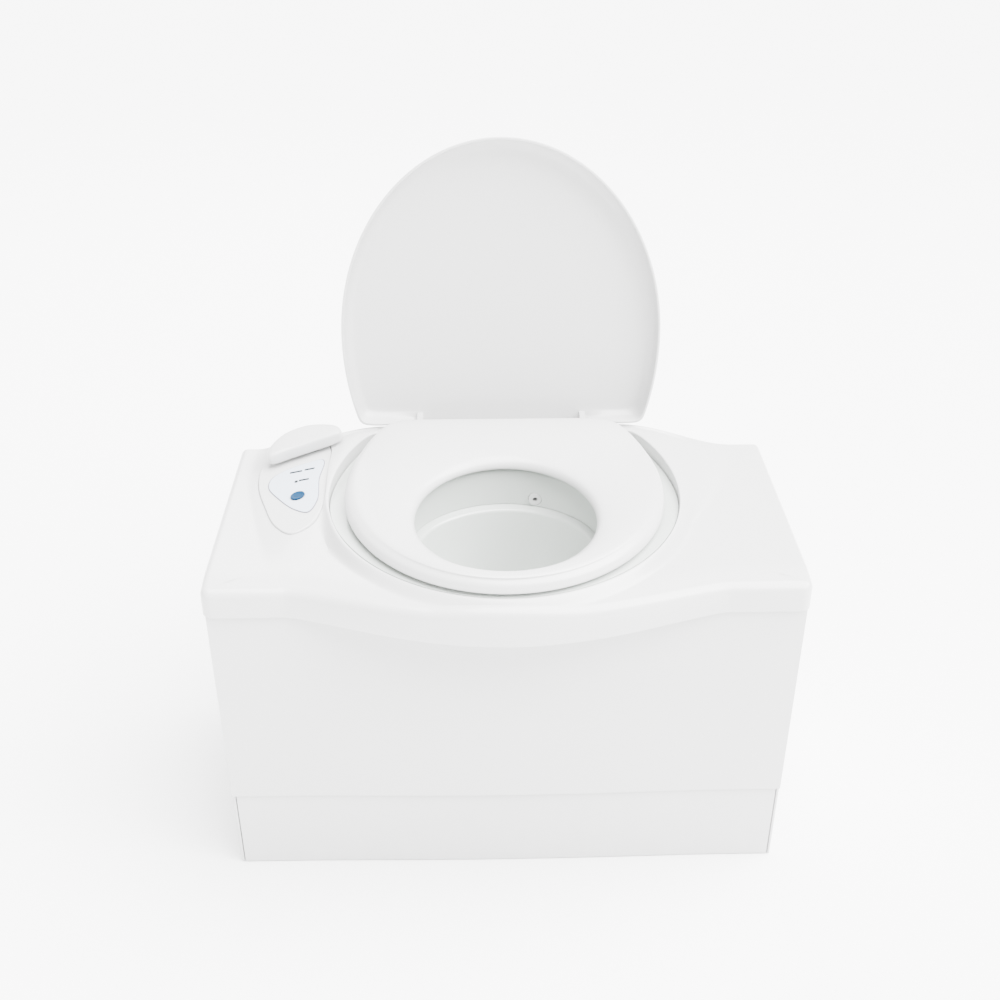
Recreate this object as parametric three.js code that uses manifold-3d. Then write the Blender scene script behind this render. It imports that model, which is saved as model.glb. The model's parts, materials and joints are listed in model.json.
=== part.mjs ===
// Cassette toilet for a caravan: a bench with a bowl, seat and lid, a hand-turned waste valve,
// a flush-water tank with its pump, and a waste cassette that slides out at the rear.
// Millimetres, +Z up, +Y to the rear. The origin is on the floor under the middle of the bench.
import * as THREE from 'three';
import { mergeVertices } from 'three/addons/utils/BufferGeometryUtils.js';
import Module from 'manifold-3d';

const wasm = await Module();
wasm.setup();

// ---------------------------------------------------------------- driving dimensions
const WALL = 3;                       // moulded wall thickness
const GAP = 0.4;                      // air left between touching pieces

const HALF_WIDTH = 350;               // bench top, half its width
const FRONT_Y = -175;                 // front face of the skirt
const BACK_Y = 170;                   // rear face of the skirt
const DECK_Z = 425;                   // flat part of the deck
const SKIRT_Z = 386;                  // lower edge of the skirt
const BULGE = 53;                     // how far the front swells out under the seat
const BULGE_HALF = 255;               // half the width of that swelling
const BULGE_DIP = 7;                  // how much lower the skirt hangs there
const PANEL_TOP_Z = 389;
const PANEL_BOTTOM_Z = 113;
const PANEL_Y = -171;
const PANEL_BOW = 4.5;
const FOOT_HALF = 341;                // half width at the floor
const PANEL_HALF = 346;               // half width under the skirt

const WELL = { x: 216, front: 208, rear: 230, cy: 2, cut: 146 };   // recess round the seat
const RIM_Z = 432;                    // rim of the recess at its front
const RIM_Y = -205;
const RIM_SLOPE = 0.085;              // the rim rises to the rear
const WELL_DEPTH = { front: 5.6, rear: 21, from: -125, run: 215 }; // the recess deepens to the rear
const LEDGE = 8;                      // ledge that carries the bowl

const POD = { x: -318, z: 425, slopeX: 0.2, slopeY: 0.05 };        // tilted plane of the controls
const POD_BLEND = { x: -268, y: 44, rx: 44, ry: 112, reach: 34 };   // the deck rises to that plane
const HUB = new THREE.Vector2(-248, 126);                          // valve handle axis on it
const BUTTON = new THREE.Vector2(-256.5, 10.5);
const BUTTON_R = 9;

const HINGE_Y = 152;
const HINGE_Z = 468;
const PIN_R = 3;
const EYE_R = 5.6;
const LID_LEAN = THREE.MathUtils.degToRad(9);                      // open lid, beyond upright
const SEAT_KICK = 4;                  // extra height of the seat at its rear edge

const OUTLET = { x: 0, y: -50, r: 50, z: 262 };                    // bowl outlet
const MOUTH = { cy: -68, rx: 124, ry: 118 };                       // bowl mouth
const LEDGE_Z = 406;
const BOWL_WALL = 4;

const SHELF_Z = 238.5;                // shelf over the cassette bay
const BAY_HALF = 196;                 // half width of the cassette bay
const CASSETTE = { x: 186, front: -152, back: 158, bottom: 10, top: 234 };
const VALVE = new THREE.Vector2(-80, -40);                         // blade pivot
const CRANK = 30;                     // crank and lever radius
const LINK_Z = 243;                   // underside of the crank and lever

const TANK = { x0: 206, x1: 333, y0: -150, y1: 150, z0: 5.6, z1: 300 };

const AROUND = 14;                    // sides of a round piece

// ---------------------------------------------------------------- finishes
const finish = (colour, roughness, metalness = 0) =>
  new THREE.MeshStandardMaterial({ color: colour, roughness, metalness });
const WHITE = finish(0xf3f3f1, 0.22);
const BOWL_WHITE = finish(0xeff1ee, 0.15);
const MEMBRANE = finish(0xe8ebef, 0.45);
const BLUE = finish(0x3a97cf, 0.35);
const GREY = finish(0xb9bcbc, 0.5);
const TANK_GREY = finish(0xd9dcdd, 0.5);
const DARK = finish(0x4a4e52, 0.6);
const RUBBER = finish(0x2b2d2f, 0.8);
const STEEL = finish(0xb8babd, 0.3, 1);
const GREEN = finish(0x2f6b4a, 0.5);

// ---------------------------------------------------------------- solids
const object = new THREE.Group();

function add(name, geometry, material) {
  const shown = geometry.index ? geometry.toNonIndexed() : geometry.clone();
  shown.deleteAttribute('uv');
  shown.computeVertexNormals();
  const mesh = new THREE.Mesh(shown, material.clone());
  mesh.name = name;
  object.add(mesh);
}

function solidOf(geometry) {
  const bare = geometry.clone();
  bare.deleteAttribute('normal');
  bare.deleteAttribute('uv');
  const merged = mergeVertices(bare, 1e-4);
  return new wasm.Manifold(new wasm.Mesh({
    numProp: 3,
    vertProperties: new Float32Array(merged.attributes.position.array),
    triVerts: new Uint32Array(merged.index.array),
  }));
}

function geometryOf(solid) {
  const mesh = solid.getMesh();
  const geometry = new THREE.BufferGeometry();
  geometry.setAttribute('position', new THREE.BufferAttribute(new Float32Array(mesh.vertProperties), 3));
  geometry.setIndex(new THREE.BufferAttribute(new Uint32Array(mesh.triVerts), 1));
  return geometry;
}

const join = (first, ...rest) =>
  geometryOf(rest.reduce((sum, next) => sum.add(solidOf(next)), solidOf(first)));
const cut = (first, ...tools) =>
  geometryOf(tools.reduce((left, tool) => left.subtract(solidOf(tool)), solidOf(first)));

// Closed surface from rows of points. A ring joins the last row and column back to the first.
// A cap has one shared point at each end of every row.
function surface(rows, closedColumns) {
  const count = rows.length;
  const width = rows[0].length;
  const positions = rows.flat().flatMap((point) => [point.x, point.y, point.z]);
  const index = [];
  const last = closedColumns ? width : width - 1;
  for (let i = 0; i < count; i += 1) {
    for (let j = 0; j < last; j += 1) {
      const a = i * width + j;
      const b = ((i + 1) % count) * width + j;
      const c = ((i + 1) % count) * width + ((j + 1) % width);
      const d = i * width + ((j + 1) % width);
      index.push(a, b, c, a, c, d);
    }
  }
  const geometry = new THREE.BufferGeometry();
  geometry.setAttribute('position', new THREE.Float32BufferAttribute(positions, 3));
  geometry.setIndex(index);
  return outward(geometry);
}

// Merges a closed surface's shared points and turns its faces outwards.
function outward(geometry) {
  geometry.deleteAttribute('normal');
  geometry.deleteAttribute('uv');
  const merged = mergeVertices(geometry, 1e-4);
  const kept = [];
  const ids = merged.index.array;
  for (let i = 0; i < ids.length; i += 3) {
    const [p, q, r] = [ids[i], ids[i + 1], ids[i + 2]];
    if (p !== q && q !== r && r !== p) kept.push(p, q, r);
  }
  merged.setIndex(signedVolume(merged.attributes.position, kept) < 0 ? kept.reverse() : kept);
  return merged;
}

function signedVolume(position, index) {
  const [a, b, c] = [new THREE.Vector3(), new THREE.Vector3(), new THREE.Vector3()];
  let volume = 0;
  for (let i = 0; i < index.length; i += 3) {
    a.fromBufferAttribute(position, index[i]);
    b.fromBufferAttribute(position, index[i + 1]);
    c.fromBufferAttribute(position, index[i + 2]);
    volume += a.dot(b.cross(c));
  }
  return volume;
}

const box = (x0, x1, y0, y1, z0, z1) =>
  new THREE.BoxGeometry(x1 - x0, y1 - y0, z1 - z0)
    .translate((x0 + x1) / 2, (y0 + y1) / 2, (z0 + z1) / 2);

// Upright cylinder with its foot at z0.
const post = (x, y, r, z0, z1, sides = AROUND) =>
  new THREE.CylinderGeometry(r, r, z1 - z0, sides).rotateX(Math.PI / 2).translate(x, y, (z0 + z1) / 2);

// Cylinder along X from x0 to x1.
const barX = (x0, x1, y, z, r, sides = AROUND) =>
  new THREE.CylinderGeometry(r, r, x1 - x0, sides).rotateZ(Math.PI / 2).translate((x0 + x1) / 2, y, z);

// Cylinder along Y from y0 to y1.
const barY = (x, y0, y1, z, r, sides = AROUND) =>
  new THREE.CylinderGeometry(r, r, y1 - y0, sides).translate(x, (y0 + y1) / 2, z);

// Turned piece: [radius, height] pairs round an upright axis, closed on themselves.
function turned(x, y, profile, sides = AROUND) {
  const points = [...profile, profile[0]].map(([r, z]) => new THREE.Vector2(r, z));
  return outward(new THREE.LatheGeometry(points, sides).rotateX(Math.PI / 2).translate(x, y, 0));
}

function roundedRectangle(x0, x1, y0, y1, r, sides = 4) {
  const corners = [[x1 - r, y1 - r, 0], [x0 + r, y1 - r, 1], [x0 + r, y0 + r, 2], [x1 - r, y0 + r, 3]];
  const points = corners.flatMap(([x, y, quarter]) =>
    Array.from({ length: sides + 1 }, (_, i) => {
      const angle = (quarter + i / sides) * Math.PI / 2;
      return new THREE.Vector2(x + r * Math.cos(angle), y + r * Math.sin(angle));
    }));
  return new THREE.Shape(points);
}

// Plate of a given outline from z0 to z1.
const prism = (shape, z0, z1) =>
  new THREE.ExtrudeGeometry(shape, { depth: z1 - z0, bevelEnabled: false }).translate(0, 0, z0);

// Bar with round ends between two plan points.
function link(from, to, halfWidth, z0, z1) {
  const length = from.distanceTo(to);
  const shape = roundedRectangle(-halfWidth, length + halfWidth, -halfWidth, halfWidth, halfWidth * 0.999, 4);
  return prism(shape, z0, z1).rotateZ(Math.atan2(to.y - from.y, to.x - from.x)).translate(from.x, from.y, 0);
}

// Round tube or rod along a smooth curve.
function along(points, r, steps, sides, bore = 0) {
  const shape = new THREE.Shape().absarc(0, 0, r, 0, 2 * Math.PI);
  if (bore) shape.holes.push(new THREE.Path().absarc(0, 0, bore, 0, 2 * Math.PI, true));
  const path = new THREE.CatmullRomCurve3(points.map((p) => new THREE.Vector3(...p)), false, 'centripetal');
  return new THREE.ExtrudeGeometry(shape, {
    steps, curveSegments: sides, bevelEnabled: false, extrudePath: path,
  });
}

const smooth = (t) => THREE.MathUtils.smoothstep(t, 0, 1);
const vec = (x, y, z) => new THREE.Vector3(x, y, z);

// ---------------------------------------------------------------- shape of the bench top
const rimZ = (y) => RIM_Z + RIM_SLOPE * (y - RIM_Y);
const wellDepth = (y) =>
  WELL_DEPTH.front + (WELL_DEPTH.rear - WELL_DEPTH.front) * smooth((y - WELL_DEPTH.from) / WELL_DEPTH.run);
const podZ = (x, y) => POD.z + POD.slopeX * (x - POD.x) + POD.slopeY * y;
const swell = (x) => Math.max(0, 1 - (x / BULGE_HALF) ** 2) ** 1.4;
const frontEdge = (x) => FRONT_Y - BULGE * swell(x);

// How many millimetres a plan point lies outside the recess.
function outsideWell(x, y) {
  const ry = y > WELL.cy ? WELL.rear : WELL.front;
  return (Math.hypot(x / WELL.x, (y - WELL.cy) / ry) - 1) * 210;
}

// Recess outline along a direction from its centre, grown by a distance.
function wellPoint(angle, grow) {
  const ry = Math.sin(angle) > 0 ? WELL.rear : WELL.front;
  const r = 1 / Math.hypot(Math.cos(angle) / WELL.x, Math.sin(angle) / ry) + grow;
  const reach = Math.sin(angle) > 0 ? (WELL.cut + grow - WELL.cy) / Math.sin(angle) : Infinity;
  const blend = 10;
  const kept = -Math.log(Math.exp(-r / blend) + Math.exp(-reach / blend)) * blend;
  return new THREE.Vector2(kept * Math.cos(angle), WELL.cy + kept * Math.sin(angle));
}

function deckZ(x, y) {
  const slope = 5 * (1 - smooth((y - frontEdge(x)) / 45));
  const base = DECK_Z - slope;
  const width = THREE.MathUtils.clamp(38 + 0.55 * y, 16, 140);
  const lift = 1 - smooth(Math.max(0, outsideWell(x, y)) / width);
  const crown = (rimZ(y) - base) * (1 - 0.16 * smooth((y - 140) / 30));
  const z = base + crown * lift;
  const pod = POD_BLEND;
  const outsidePod = (Math.hypot((x - pod.x) / pod.rx, (y - pod.y) / pod.ry) - 1) * pod.rx;
  const towardsPod = 1 - smooth(outsidePod / pod.reach);
  return z + Math.max(0, podZ(x, y) - 1 - z) * towardsPod;
}

// Outer edge of the deck as plan points with the direction that leads inwards.
function deckEdge() {
  const points = [];
  const side = (count, place) => {
    for (let i = 0; i < count; i += 1) points.push(place(i / count, i === 0));
  };
  const front = (t) => -HALF_WIDTH + 2 * HALF_WIDTH * t;
  side(22, (t, corner) => ({ x: front(t), y: frontEdge(front(t)), nx: corner ? 1 : 0, ny: 1, round: 15 }));
  side(7, (t, corner) => ({
    x: HALF_WIDTH, y: FRONT_Y + (BACK_Y - FRONT_Y) * t, nx: -1, ny: corner ? 1 : 0, round: corner ? 12 : 8,
  }));
  side(14, (t, corner) => ({ x: -front(t), y: BACK_Y, nx: corner ? -1 : 0, ny: -1, round: 6 }));
  side(7, (t, corner) => ({
    x: -HALF_WIDTH, y: BACK_Y - (BACK_Y - FRONT_Y) * t, nx: 1, ny: corner ? -1 : 0, round: corner ? 6 : 8,
  }));
  return points;
}

function deckSection(edge) {
  const angle = Math.atan2(edge.y - WELL.cy, edge.x);
  const inset = (d, z) => vec(edge.x + edge.nx * d, edge.y + edge.ny * d, z);
  const well = (grow, depth) => {
    const p = wellPoint(angle, grow);
    return vec(p.x, p.y, rimZ(p.y) - depth);
  };
  const floor = (grow, below) => {
    const p = wellPoint(angle, grow);
    return vec(p.x, p.y, rimZ(p.y) - wellDepth(p.y) - below);
  };
  const rim = wellPoint(angle, 3);
  const shoulder = inset(edge.round, 0);
  const across = (t, drop) => {
    const x = THREE.MathUtils.lerp(rim.x, shoulder.x, t);
    const y = THREE.MathUtils.lerp(rim.y, shoulder.y, t);
    return vec(x, y, deckZ(x, y) - drop);
  };
  const edgeZ = deckZ(shoulder.x, shoulder.y);
  const hem = SKIRT_Z - (edge.ny === 1 ? BULGE_DIP * swell(edge.x) : 0);
  const web = WALL + 0.4 + (edge.ny === 1 ? (BULGE - PANEL_BOW) * swell(edge.x) : 0);
  const steps = [0, 0.12, 0.28, 0.5, 0.75, 1];
  const round = [30, 60, 90].map((degrees) => {
    const turn = THREE.MathUtils.degToRad(degrees);
    return inset(edge.round * (1 - Math.sin(turn)), edgeZ - edge.round * (1 - Math.cos(turn)));
  });
  return [
    floor(-LEDGE, 0), floor(0, 0), well(0, 2.5),
    ...steps.map((t) => across(t, 0)),
    ...round,
    inset(0, hem), inset(web, hem), inset(web, hem + WALL), inset(WALL, hem + WALL),
    inset(WALL, edgeZ - edge.round),
    ...[1, 0.5, 0.12, 0].map((t) => across(t, WALL)),
    floor(3, WALL), floor(-LEDGE, WALL),
  ];
}

// ---------------------------------------------------------------- outlines
const closedCurve = (points, count) =>
  new THREE.CatmullRomCurve3(points.map(([x, y]) => vec(x, y, 0)), true, 'centripetal').getPoints(count)
    .slice(0, count).map((p) => new THREE.Vector2(p.x, p.y));

const POD_POINTS = [
  [-223, -22], [-236, -58], [-256, -69], [-278, -46], [-297, 2], [-312, 56], [-313, 104], [-298, 142],
  [-266, 157], [-238, 150], [-224, 118], [-222.5, 50],
];
const MEMBRANE_POINTS = [
  [-229, 84], [-232, 45], [-230, -8], [-239, -30], [-256, -20], [-281, 13], [-298, 46], [-295, 68],
  [-275, 83], [-250, 90], [-233, 92],
];
const GRIP_POINTS = [
  [-303, 99], [-299, 90], [-275, 97], [-244, 106], [-216, 115], [-206, 122], [-209, 138], [-230, 152],
  [-256, 157], [-283, 146], [-299, 122],
];

// Scales an outline about its middle, so that it grows by a distance on each side.
function grown(points, distance) {
  const bounds = new THREE.Box2().setFromPoints(points);
  const middle = bounds.getCenter(new THREE.Vector2());
  const size = bounds.getSize(new THREE.Vector2());
  const factor = new THREE.Vector2(1 + 2 * distance / size.x, 1 + 2 * distance / size.y);
  return points.map((p) => p.clone().sub(middle).multiply(factor).add(middle));
}

// Lays a plate on the tilted plane of the controls.
function onPod(geometry) {
  const position = geometry.attributes.position;
  for (let i = 0; i < position.count; i += 1) {
    position.setZ(i, position.getZ(i) + podZ(position.getX(i), position.getY(i)));
  }
  return geometry;
}

// Frame of the valve handle: its foot on the tilted plane and its axis square to it.
const HANDLE_FOOT = vec(HUB.x, HUB.y, podZ(HUB.x, HUB.y));
const HANDLE_AXIS = vec(-POD.slopeX, -POD.slopeY, 1).normalize();
const HANDLE_TURN = new THREE.Quaternion().setFromUnitVectors(vec(0, 0, 1), HANDLE_AXIS);
const onHandle = (geometry) => geometry.applyQuaternion(HANDLE_TURN).translate(...HANDLE_FOOT.toArray());
const COUPLING_DEPTH = 46;            // universal coupling under the handle
const COUPLING = HANDLE_FOOT.clone().addScaledVector(HANDLE_AXIS, -COUPLING_DEPTH);
const CRANK_AXIS = new THREE.Vector2(COUPLING.x, COUPLING.y);
const CRANK_ANGLE = VALVE.clone().sub(CRANK_AXIS).angle() - THREE.MathUtils.degToRad(132.5);
const crankTip = (axis) =>
  new THREE.Vector2(axis.x + CRANK * Math.cos(CRANK_ANGLE), axis.y + CRANK * Math.sin(CRANK_ANGLE));

// ---------------------------------------------------------------- bench
function baseTray() {
  let tray = prism(roundedRectangle(-336, 336, -160, 161, 6), 0, 5);
  tray = join(tray, box(-330, 330, -158, -154, 4, 10));
  return cut(tray, ...FLOOR_SCREWS.map(([x, y]) => post(x, y, 3, -1, 20, 16)));
}
const FLOOR_SCREWS = [[-300, -120], [-300, 120], [120, -130], [120, 130]];

// Bowed upright sheet whose half width and front face change with height.
function uprightSheet(x0, x1, y, bow, z0, z1, halfAt, columns) {
  const rows = [];
  for (let i = 0; i <= columns; i += 1) {
    const t = i / columns;
    const place = (z, back) => {
      const half = halfAt(z);
      const x = THREE.MathUtils.lerp(x0 * half, x1 * half, t);
      return vec(x, y - bow * swell(x) + back, z);
    };
    rows.push([place(z0, 0), place(z1, 0), place(z1, WALL), place(z0, WALL)]);
  }
  return closedStrip(rows);
}

// Closed bar from a list of matching loops, with flat ends.
function closedStrip(rows) {
  const wide = rows[0].length;
  const positions = rows.flat().flatMap((p) => [p.x, p.y, p.z]);
  const index = [];
  for (let i = 0; i + 1 < rows.length; i += 1) {
    for (let j = 0; j < wide; j += 1) {
      const a = i * wide + j;
      const b = a + wide;
      const d = i * wide + ((j + 1) % wide);
      const c = d + wide;
      index.push(a, b, c, a, c, d);
    }
  }
  const end = (rows.length - 1) * wide;
  for (let j = 1; j + 1 < wide; j += 1) {
    index.push(0, j, j + 1);
    index.push(end, end + j + 1, end + j);
  }
  const geometry = new THREE.BufferGeometry();
  geometry.setAttribute('position', new THREE.Float32BufferAttribute(positions, 3));
  geometry.setIndex(index);
  return outward(geometry);
}

const halfAt = (z) => FOOT_HALF + (PANEL_HALF - FOOT_HALF) * z / PANEL_TOP_Z;

function sidePanel(sign) {
  const rows = [PANEL_Y + WALL + GAP, BACK_Y - 4 - WALL - GAP].map((y) => [
    vec(sign * halfAt(0), y, 0.2), vec(sign * halfAt(PANEL_TOP_Z), y, PANEL_TOP_Z),
    vec(sign * (halfAt(PANEL_TOP_Z) - WALL), y, PANEL_TOP_Z), vec(sign * (halfAt(0) - WALL), y, 0.2),
  ]);
  return closedStrip(rows);
}

function backFrame() {
  const shape = new THREE.Shape([
    new THREE.Vector2(-FOOT_HALF, 0.2), new THREE.Vector2(FOOT_HALF, 0.2),
    new THREE.Vector2(PANEL_HALF, PANEL_TOP_Z), new THREE.Vector2(-PANEL_HALF, PANEL_TOP_Z),
  ]);
  shape.holes.push(roundedRectangle(-BAY_HALF, BAY_HALF, 6, SHELF_Z - 1, 8));
  shape.holes.push(new THREE.Path().absarc(FILL.x, FILL.z, FILL.r + 5.5, 0, 2 * Math.PI, true));
  shape.holes.push(new THREE.Path().absarc(DRAIN.x, DRAIN.z, 16, 0, 2 * Math.PI, true));
  return new THREE.ExtrudeGeometry(shape, { depth: WALL, bevelEnabled: false, curveSegments: 8 })
    .rotateX(Math.PI / 2).translate(0, BACK_Y - 4, 0);
}
const FILL = { x: 270, z: 250, r: 24 };
const DRAIN = { x: 270, z: 28, r: 9 };

function benchTop() {
  const shell = surface(deckEdge().map(deckSection), true);
  const hole = onPod(prism(new THREE.Shape(grown(closedCurve(POD_POINTS, 36), 0.5)), -30, 12));
  const hingeBay = box(-128, 128, 138, 165.5, 440, 480);
  return cut(shell, hole, hingeBay);
}

function bayWall(sign) {
  const wall = box(BAY_HALF, BAY_HALF + WALL, -153, 162, 5.4, SHELF_Z - GAP);
  const foot = box(BAY_HALF, BAY_HALF + 8, -150, 150, 5.4, 8.4);
  const whole = join(wall, foot);
  return sign > 0 ? whole : geometryOf(solidOf(whole).mirror([1, 0, 0]));
}

function supportShelf() {
  const half = BAY_HALF + WALL;
  const plate = prism(roundedRectangle(-half, half, -160, 161, 5), SHELF_Z, SHELF_Z + WALL);
  return cut(plate, post(OUTLET.x, OUTLET.y, 62, 200, 260), post(VALVE.x, VALVE.y, 6.4, 200, 260));
}

// ---------------------------------------------------------------- bowl and flush
const ellipseAt = (angle, rx, ry, cy, z) => vec(rx * Math.cos(angle), cy + ry * Math.sin(angle), z);

// Rim moulding: a flange on the recess's ledge, a raised collar, and the wall down to the step.
function bowlRim() {
  const w = BOWL_WALL;
  const { rx, ry, cy } = MOUTH;
  const rows = Array.from({ length: 36 }, (_, i) => {
    const angle = 2 * Math.PI * i / 36;
    const edge = wellPoint(angle, -1);
    const lip = rimZ(edge.y) - wellDepth(edge.y) + GAP;
    const ring = (grow, z) => ellipseAt(angle, rx + grow, ry + grow, cy, z);
    const belowRim = (grow, drop) => rimZ(cy + (ry + grow) * Math.sin(angle)) - drop;
    const floor = (grow) => belowRim(grow, wellDepth(cy + (ry + grow) * Math.sin(angle)) - GAP);
    return [
      vec(edge.x, edge.y, lip), vec(edge.x, edge.y, lip + w), ring(13, floor(13) + w),
      ring(8, belowRim(8, 1.6)), ring(3, belowRim(3, 1.5)), ring(0, belowRim(0, 3.5)),
      ring(-5.6, LEDGE_Z + GAP), ring(-2, LEDGE_Z + GAP), ring(w, floor(w) - 3), ring(9, floor(9)),
    ];
  });
  return cut(surface(rows, true), barY(NOZZLE.x, 20, 90, NOZZLE.z, 8.4, 20));
}

// Bowl moulding: the step, the funnel and the spigot.
function bowl() {
  const { cy } = MOUTH;
  const { r, y, z } = OUTLET;
  const rows = Array.from({ length: 36 }, (_, i) => {
    const ring = (...size) => ellipseAt(2 * Math.PI * i / 36, ...size);
    return [
      ring(118, 112, cy, LEDGE_Z), ring(108, 102, cy, LEDGE_Z - 3), ring(94, 88, -64, 350),
      ring(70, 68, -56, 296), ring(r - 4, r - 4, y, z), ring(r - 4, r - 4, y, 240), ring(r, r, y, 240),
      ring(r, r, y, z), ring(74, 72, -56, 293), ring(98, 92, -64, 348), ring(113, 107, cy, LEDGE_Z - 7),
      ring(122, 116, cy, LEDGE_Z),
    ];
  });
  return surface(rows, true);
}
const NOZZLE = { x: 40, z: 416 };

function flushNozzle() {
  const body = barY(NOZZLE.x, 37.5, 72, NOZZLE.z, 8, 20);
  const collar = barY(NOZZLE.x, 58, 61, NOZZLE.z, 11, 20);
  return cut(join(body, collar), barY(NOZZLE.x, 20, 90, NOZZLE.z, 3.2, 16));
}

const HOSE_R = 6.5;
const flushHose = () => along([
  [NOZZLE.x, 72.6, NOZZLE.z], [NOZZLE.x, 88, NOZZLE.z], [62, 116, 405], [120, 132, 392], [190, 122, 376],
  [240, 86, 362], [PUMP.x - 3, PUMP.y + 6, 350], [PUMP.x, PUMP.y, 334], [PUMP.x, PUMP.y, PUMP.top + 0.6],
], HOSE_R, 22, 4);

// ---------------------------------------------------------------- water tank
const PUMP = { x: 262, y: 60, r: 24, top: 314 };

function waterTank() {
  const { x0, x1, y0, y1, z0, z1 } = TANK;
  const outer = prism(roundedRectangle(x0, x1, y0, y1, 14), z0, z1);
  const inner = prism(roundedRectangle(x0 + WALL, x1 - WALL, y0 + WALL, y1 - WALL, 11), z0 + WALL, z1 - WALL);
  const fillHole = barY(FILL.x, y1 - 20, y1 + 5, FILL.z, FILL.r - 4, 16);
  const drainHole = barY(DRAIN.x, y1 - 20, y1 + 5, DRAIN.z, DRAIN.r, 20);
  return cut(outer, inner, post(PUMP.x, PUMP.y, PUMP.r + 1, z1 - 20, z1 + 5), fillHole, drainHole);
}

function pump() {
  const top = TANK.z1;
  return turned(PUMP.x, PUMP.y, [
    [0.01, 16], [18, 16], [18, 70], [22, 74], [22, 160], [PUMP.r, 166], [PUMP.r, top + GAP], [32, top + GAP],
    [32, top + 5], [12, top + 6], [6, top + 9], [6, PUMP.top], [0.01, PUMP.top],
  ], 16);
}

function fillNeck() {
  return turned(0, 0, [
    [FILL.r - 9, 0], [FILL.r - 5, 0], [FILL.r - 5, 5.5], [FILL.r + 4, 5.5], [FILL.r + 4, 9], [FILL.r, 9],
    [FILL.r, 26], [FILL.r - 5, 26], [FILL.r - 5, 12], [FILL.r - 9, 10],
  ], 18).rotateX(-Math.PI / 2).translate(FILL.x, TANK.y1 - 5, FILL.z);
}

function fillCap() {
  const disc = barY(FILL.x, BACK_Y + 4, BACK_Y + 9, FILL.z, FILL.r + 3, 16);
  const grip = box(FILL.x - 18, FILL.x + 18, BACK_Y + 8, BACK_Y + 17, FILL.z - 3, FILL.z + 3);
  const plug = barY(FILL.x, BACK_Y - 6, BACK_Y + 5, FILL.z, FILL.r - 6, 16);
  return join(disc, grip, plug);
}

function drainPlug() {
  const stem = barY(DRAIN.x, TANK.y1 - 6, TANK.y1 + 6, DRAIN.z, DRAIN.r - GAP, 20);
  const head = barY(DRAIN.x, TANK.y1 + GAP, TANK.y1 + 12, DRAIN.z, 13, 20);
  return join(stem, head);
}

// ---------------------------------------------------------------- controls
function controlPod() {
  const outline = closedCurve(POD_POINTS, 36);
  const block = onPod(prism(new THREE.Shape(outline), -15, 1));
  const hollow = onPod(prism(new THREE.Shape(grown(outline, -4)), -20, -3));
  const bore = onHandle(post(0, 0, 9.4, -40, 10, 16));
  const buttonHole = onPod(post(BUTTON.x, BUTTON.y, 6, -10, 5, 20));
  return cut(block, hollow, bore, buttonHole);
}

function controlMembrane() {
  const sheet = onPod(prism(new THREE.Shape(closedCurve(MEMBRANE_POINTS, 33)), 1 + 0.3, 2.2));
  return cut(sheet, onPod(post(BUTTON.x, BUTTON.y, BUTTON_R + GAP, -10, 10, 16)));
}

const controlBoard = () => onPod(prism(roundedRectangle(-284, -234, 20, 74, 3), -6, -4.4));

function flushButton() {
  const cap = onPod(post(BUTTON.x, BUTTON.y, BUTTON_R, 2.9, 4.2, 16));
  const stem = onPod(post(BUTTON.x, BUTTON.y, 5.4, -2.5, 3.2, 16));
  return join(cap, stem);
}

const indicatorLens = (x, y) => onPod(post(x, y, 2.2, 2.5, 3.1, 16));

const pumpCable = () => along([
  [-259, 50, podZ(-259, 50) - 7.5], [-262, 62, 410], [-280, 96, 380], [-284, 140, 350], [-230, 152, 338],
  [-100, 155, 330], [60, 155, 330], [200, 154, 332], [240, 140, 330], [252, 108, 322], [250, 80, 318],
  [250, 74, 312], [250, 74, 307],
], 2.5, 34, 3);

// ---------------------------------------------------------------- waste valve drive
function valveHandle() {
  const local = closedCurve(GRIP_POINTS.map(([x, y]) => [x - HUB.x, y - HUB.y]), 30);
  const grip = new THREE.ExtrudeGeometry(new THREE.Shape(local), {
    depth: 8, bevelEnabled: true, bevelThickness: 4.5, bevelSize: 4, bevelOffset: -4, bevelSegments: 2,
  }).translate(0, 0, 10.5);
  const neck = post(0, 0, 10, 2, 12, 16);
  return onHandle(cut(join(grip, neck), post(0, 0, 5.9, -5, 15, 16)));
}

const handleBush = () => onHandle(turned(0, 0, [
  [5.9, -16], [9, -16], [9, 1.2], [11, 1.4], [11, 1.7], [5.9, 1.7],
], 16));

function handleSpindle() {
  const rod = post(0, 0, 5.6, -42, 14.5, 16);
  const fork = post(0, 0, 9.5, -50.5, -37, 16);
  return onHandle(cut(join(rod, fork), box(-20, 20, -2.8, 2.8, -60, -40.5)));
}

function transferCrank() {
  const { x, y } = CRANK_AXIS;
  const shaft = post(x, y, 5, 228, 392.5, 16);
  const tongue = box(x - 7, x + 7, y - 1.6, y + 1.6, 390, 401.5);
  const tip = crankTip(CRANK_AXIS);
  const arm = link(CRANK_AXIS, tip, 7, LINK_Z, LINK_Z + 5);
  return join(shaft, tongue, arm, post(tip.x, tip.y, PIN_R, LINK_Z + 4, LINK_Z + 13, 16));
}

function shaftBracket() {
  const { x, y } = CRANK_AXIS;
  const arm = box(x, -BAY_HALF - WALL - GAP, y - 9, y + 9, 226, 236);
  return cut(join(arm, post(x, y, 11, 226, 236, 16)), post(x, y, 5.3, 227, 250, 16));
}

function connectingRod() {
  const near = crankTip(CRANK_AXIS);
  const far = crankTip(VALVE);
  const bar = link(near, far, 6.5, LINK_Z + 5.6, LINK_Z + 10.6);
  const nearHole = post(near.x, near.y, PIN_R + 0.3, 230, 270, 16);
  return cut(bar, nearHole, post(far.x, far.y, PIN_R + 1, 230, 270, 16));
}

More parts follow.
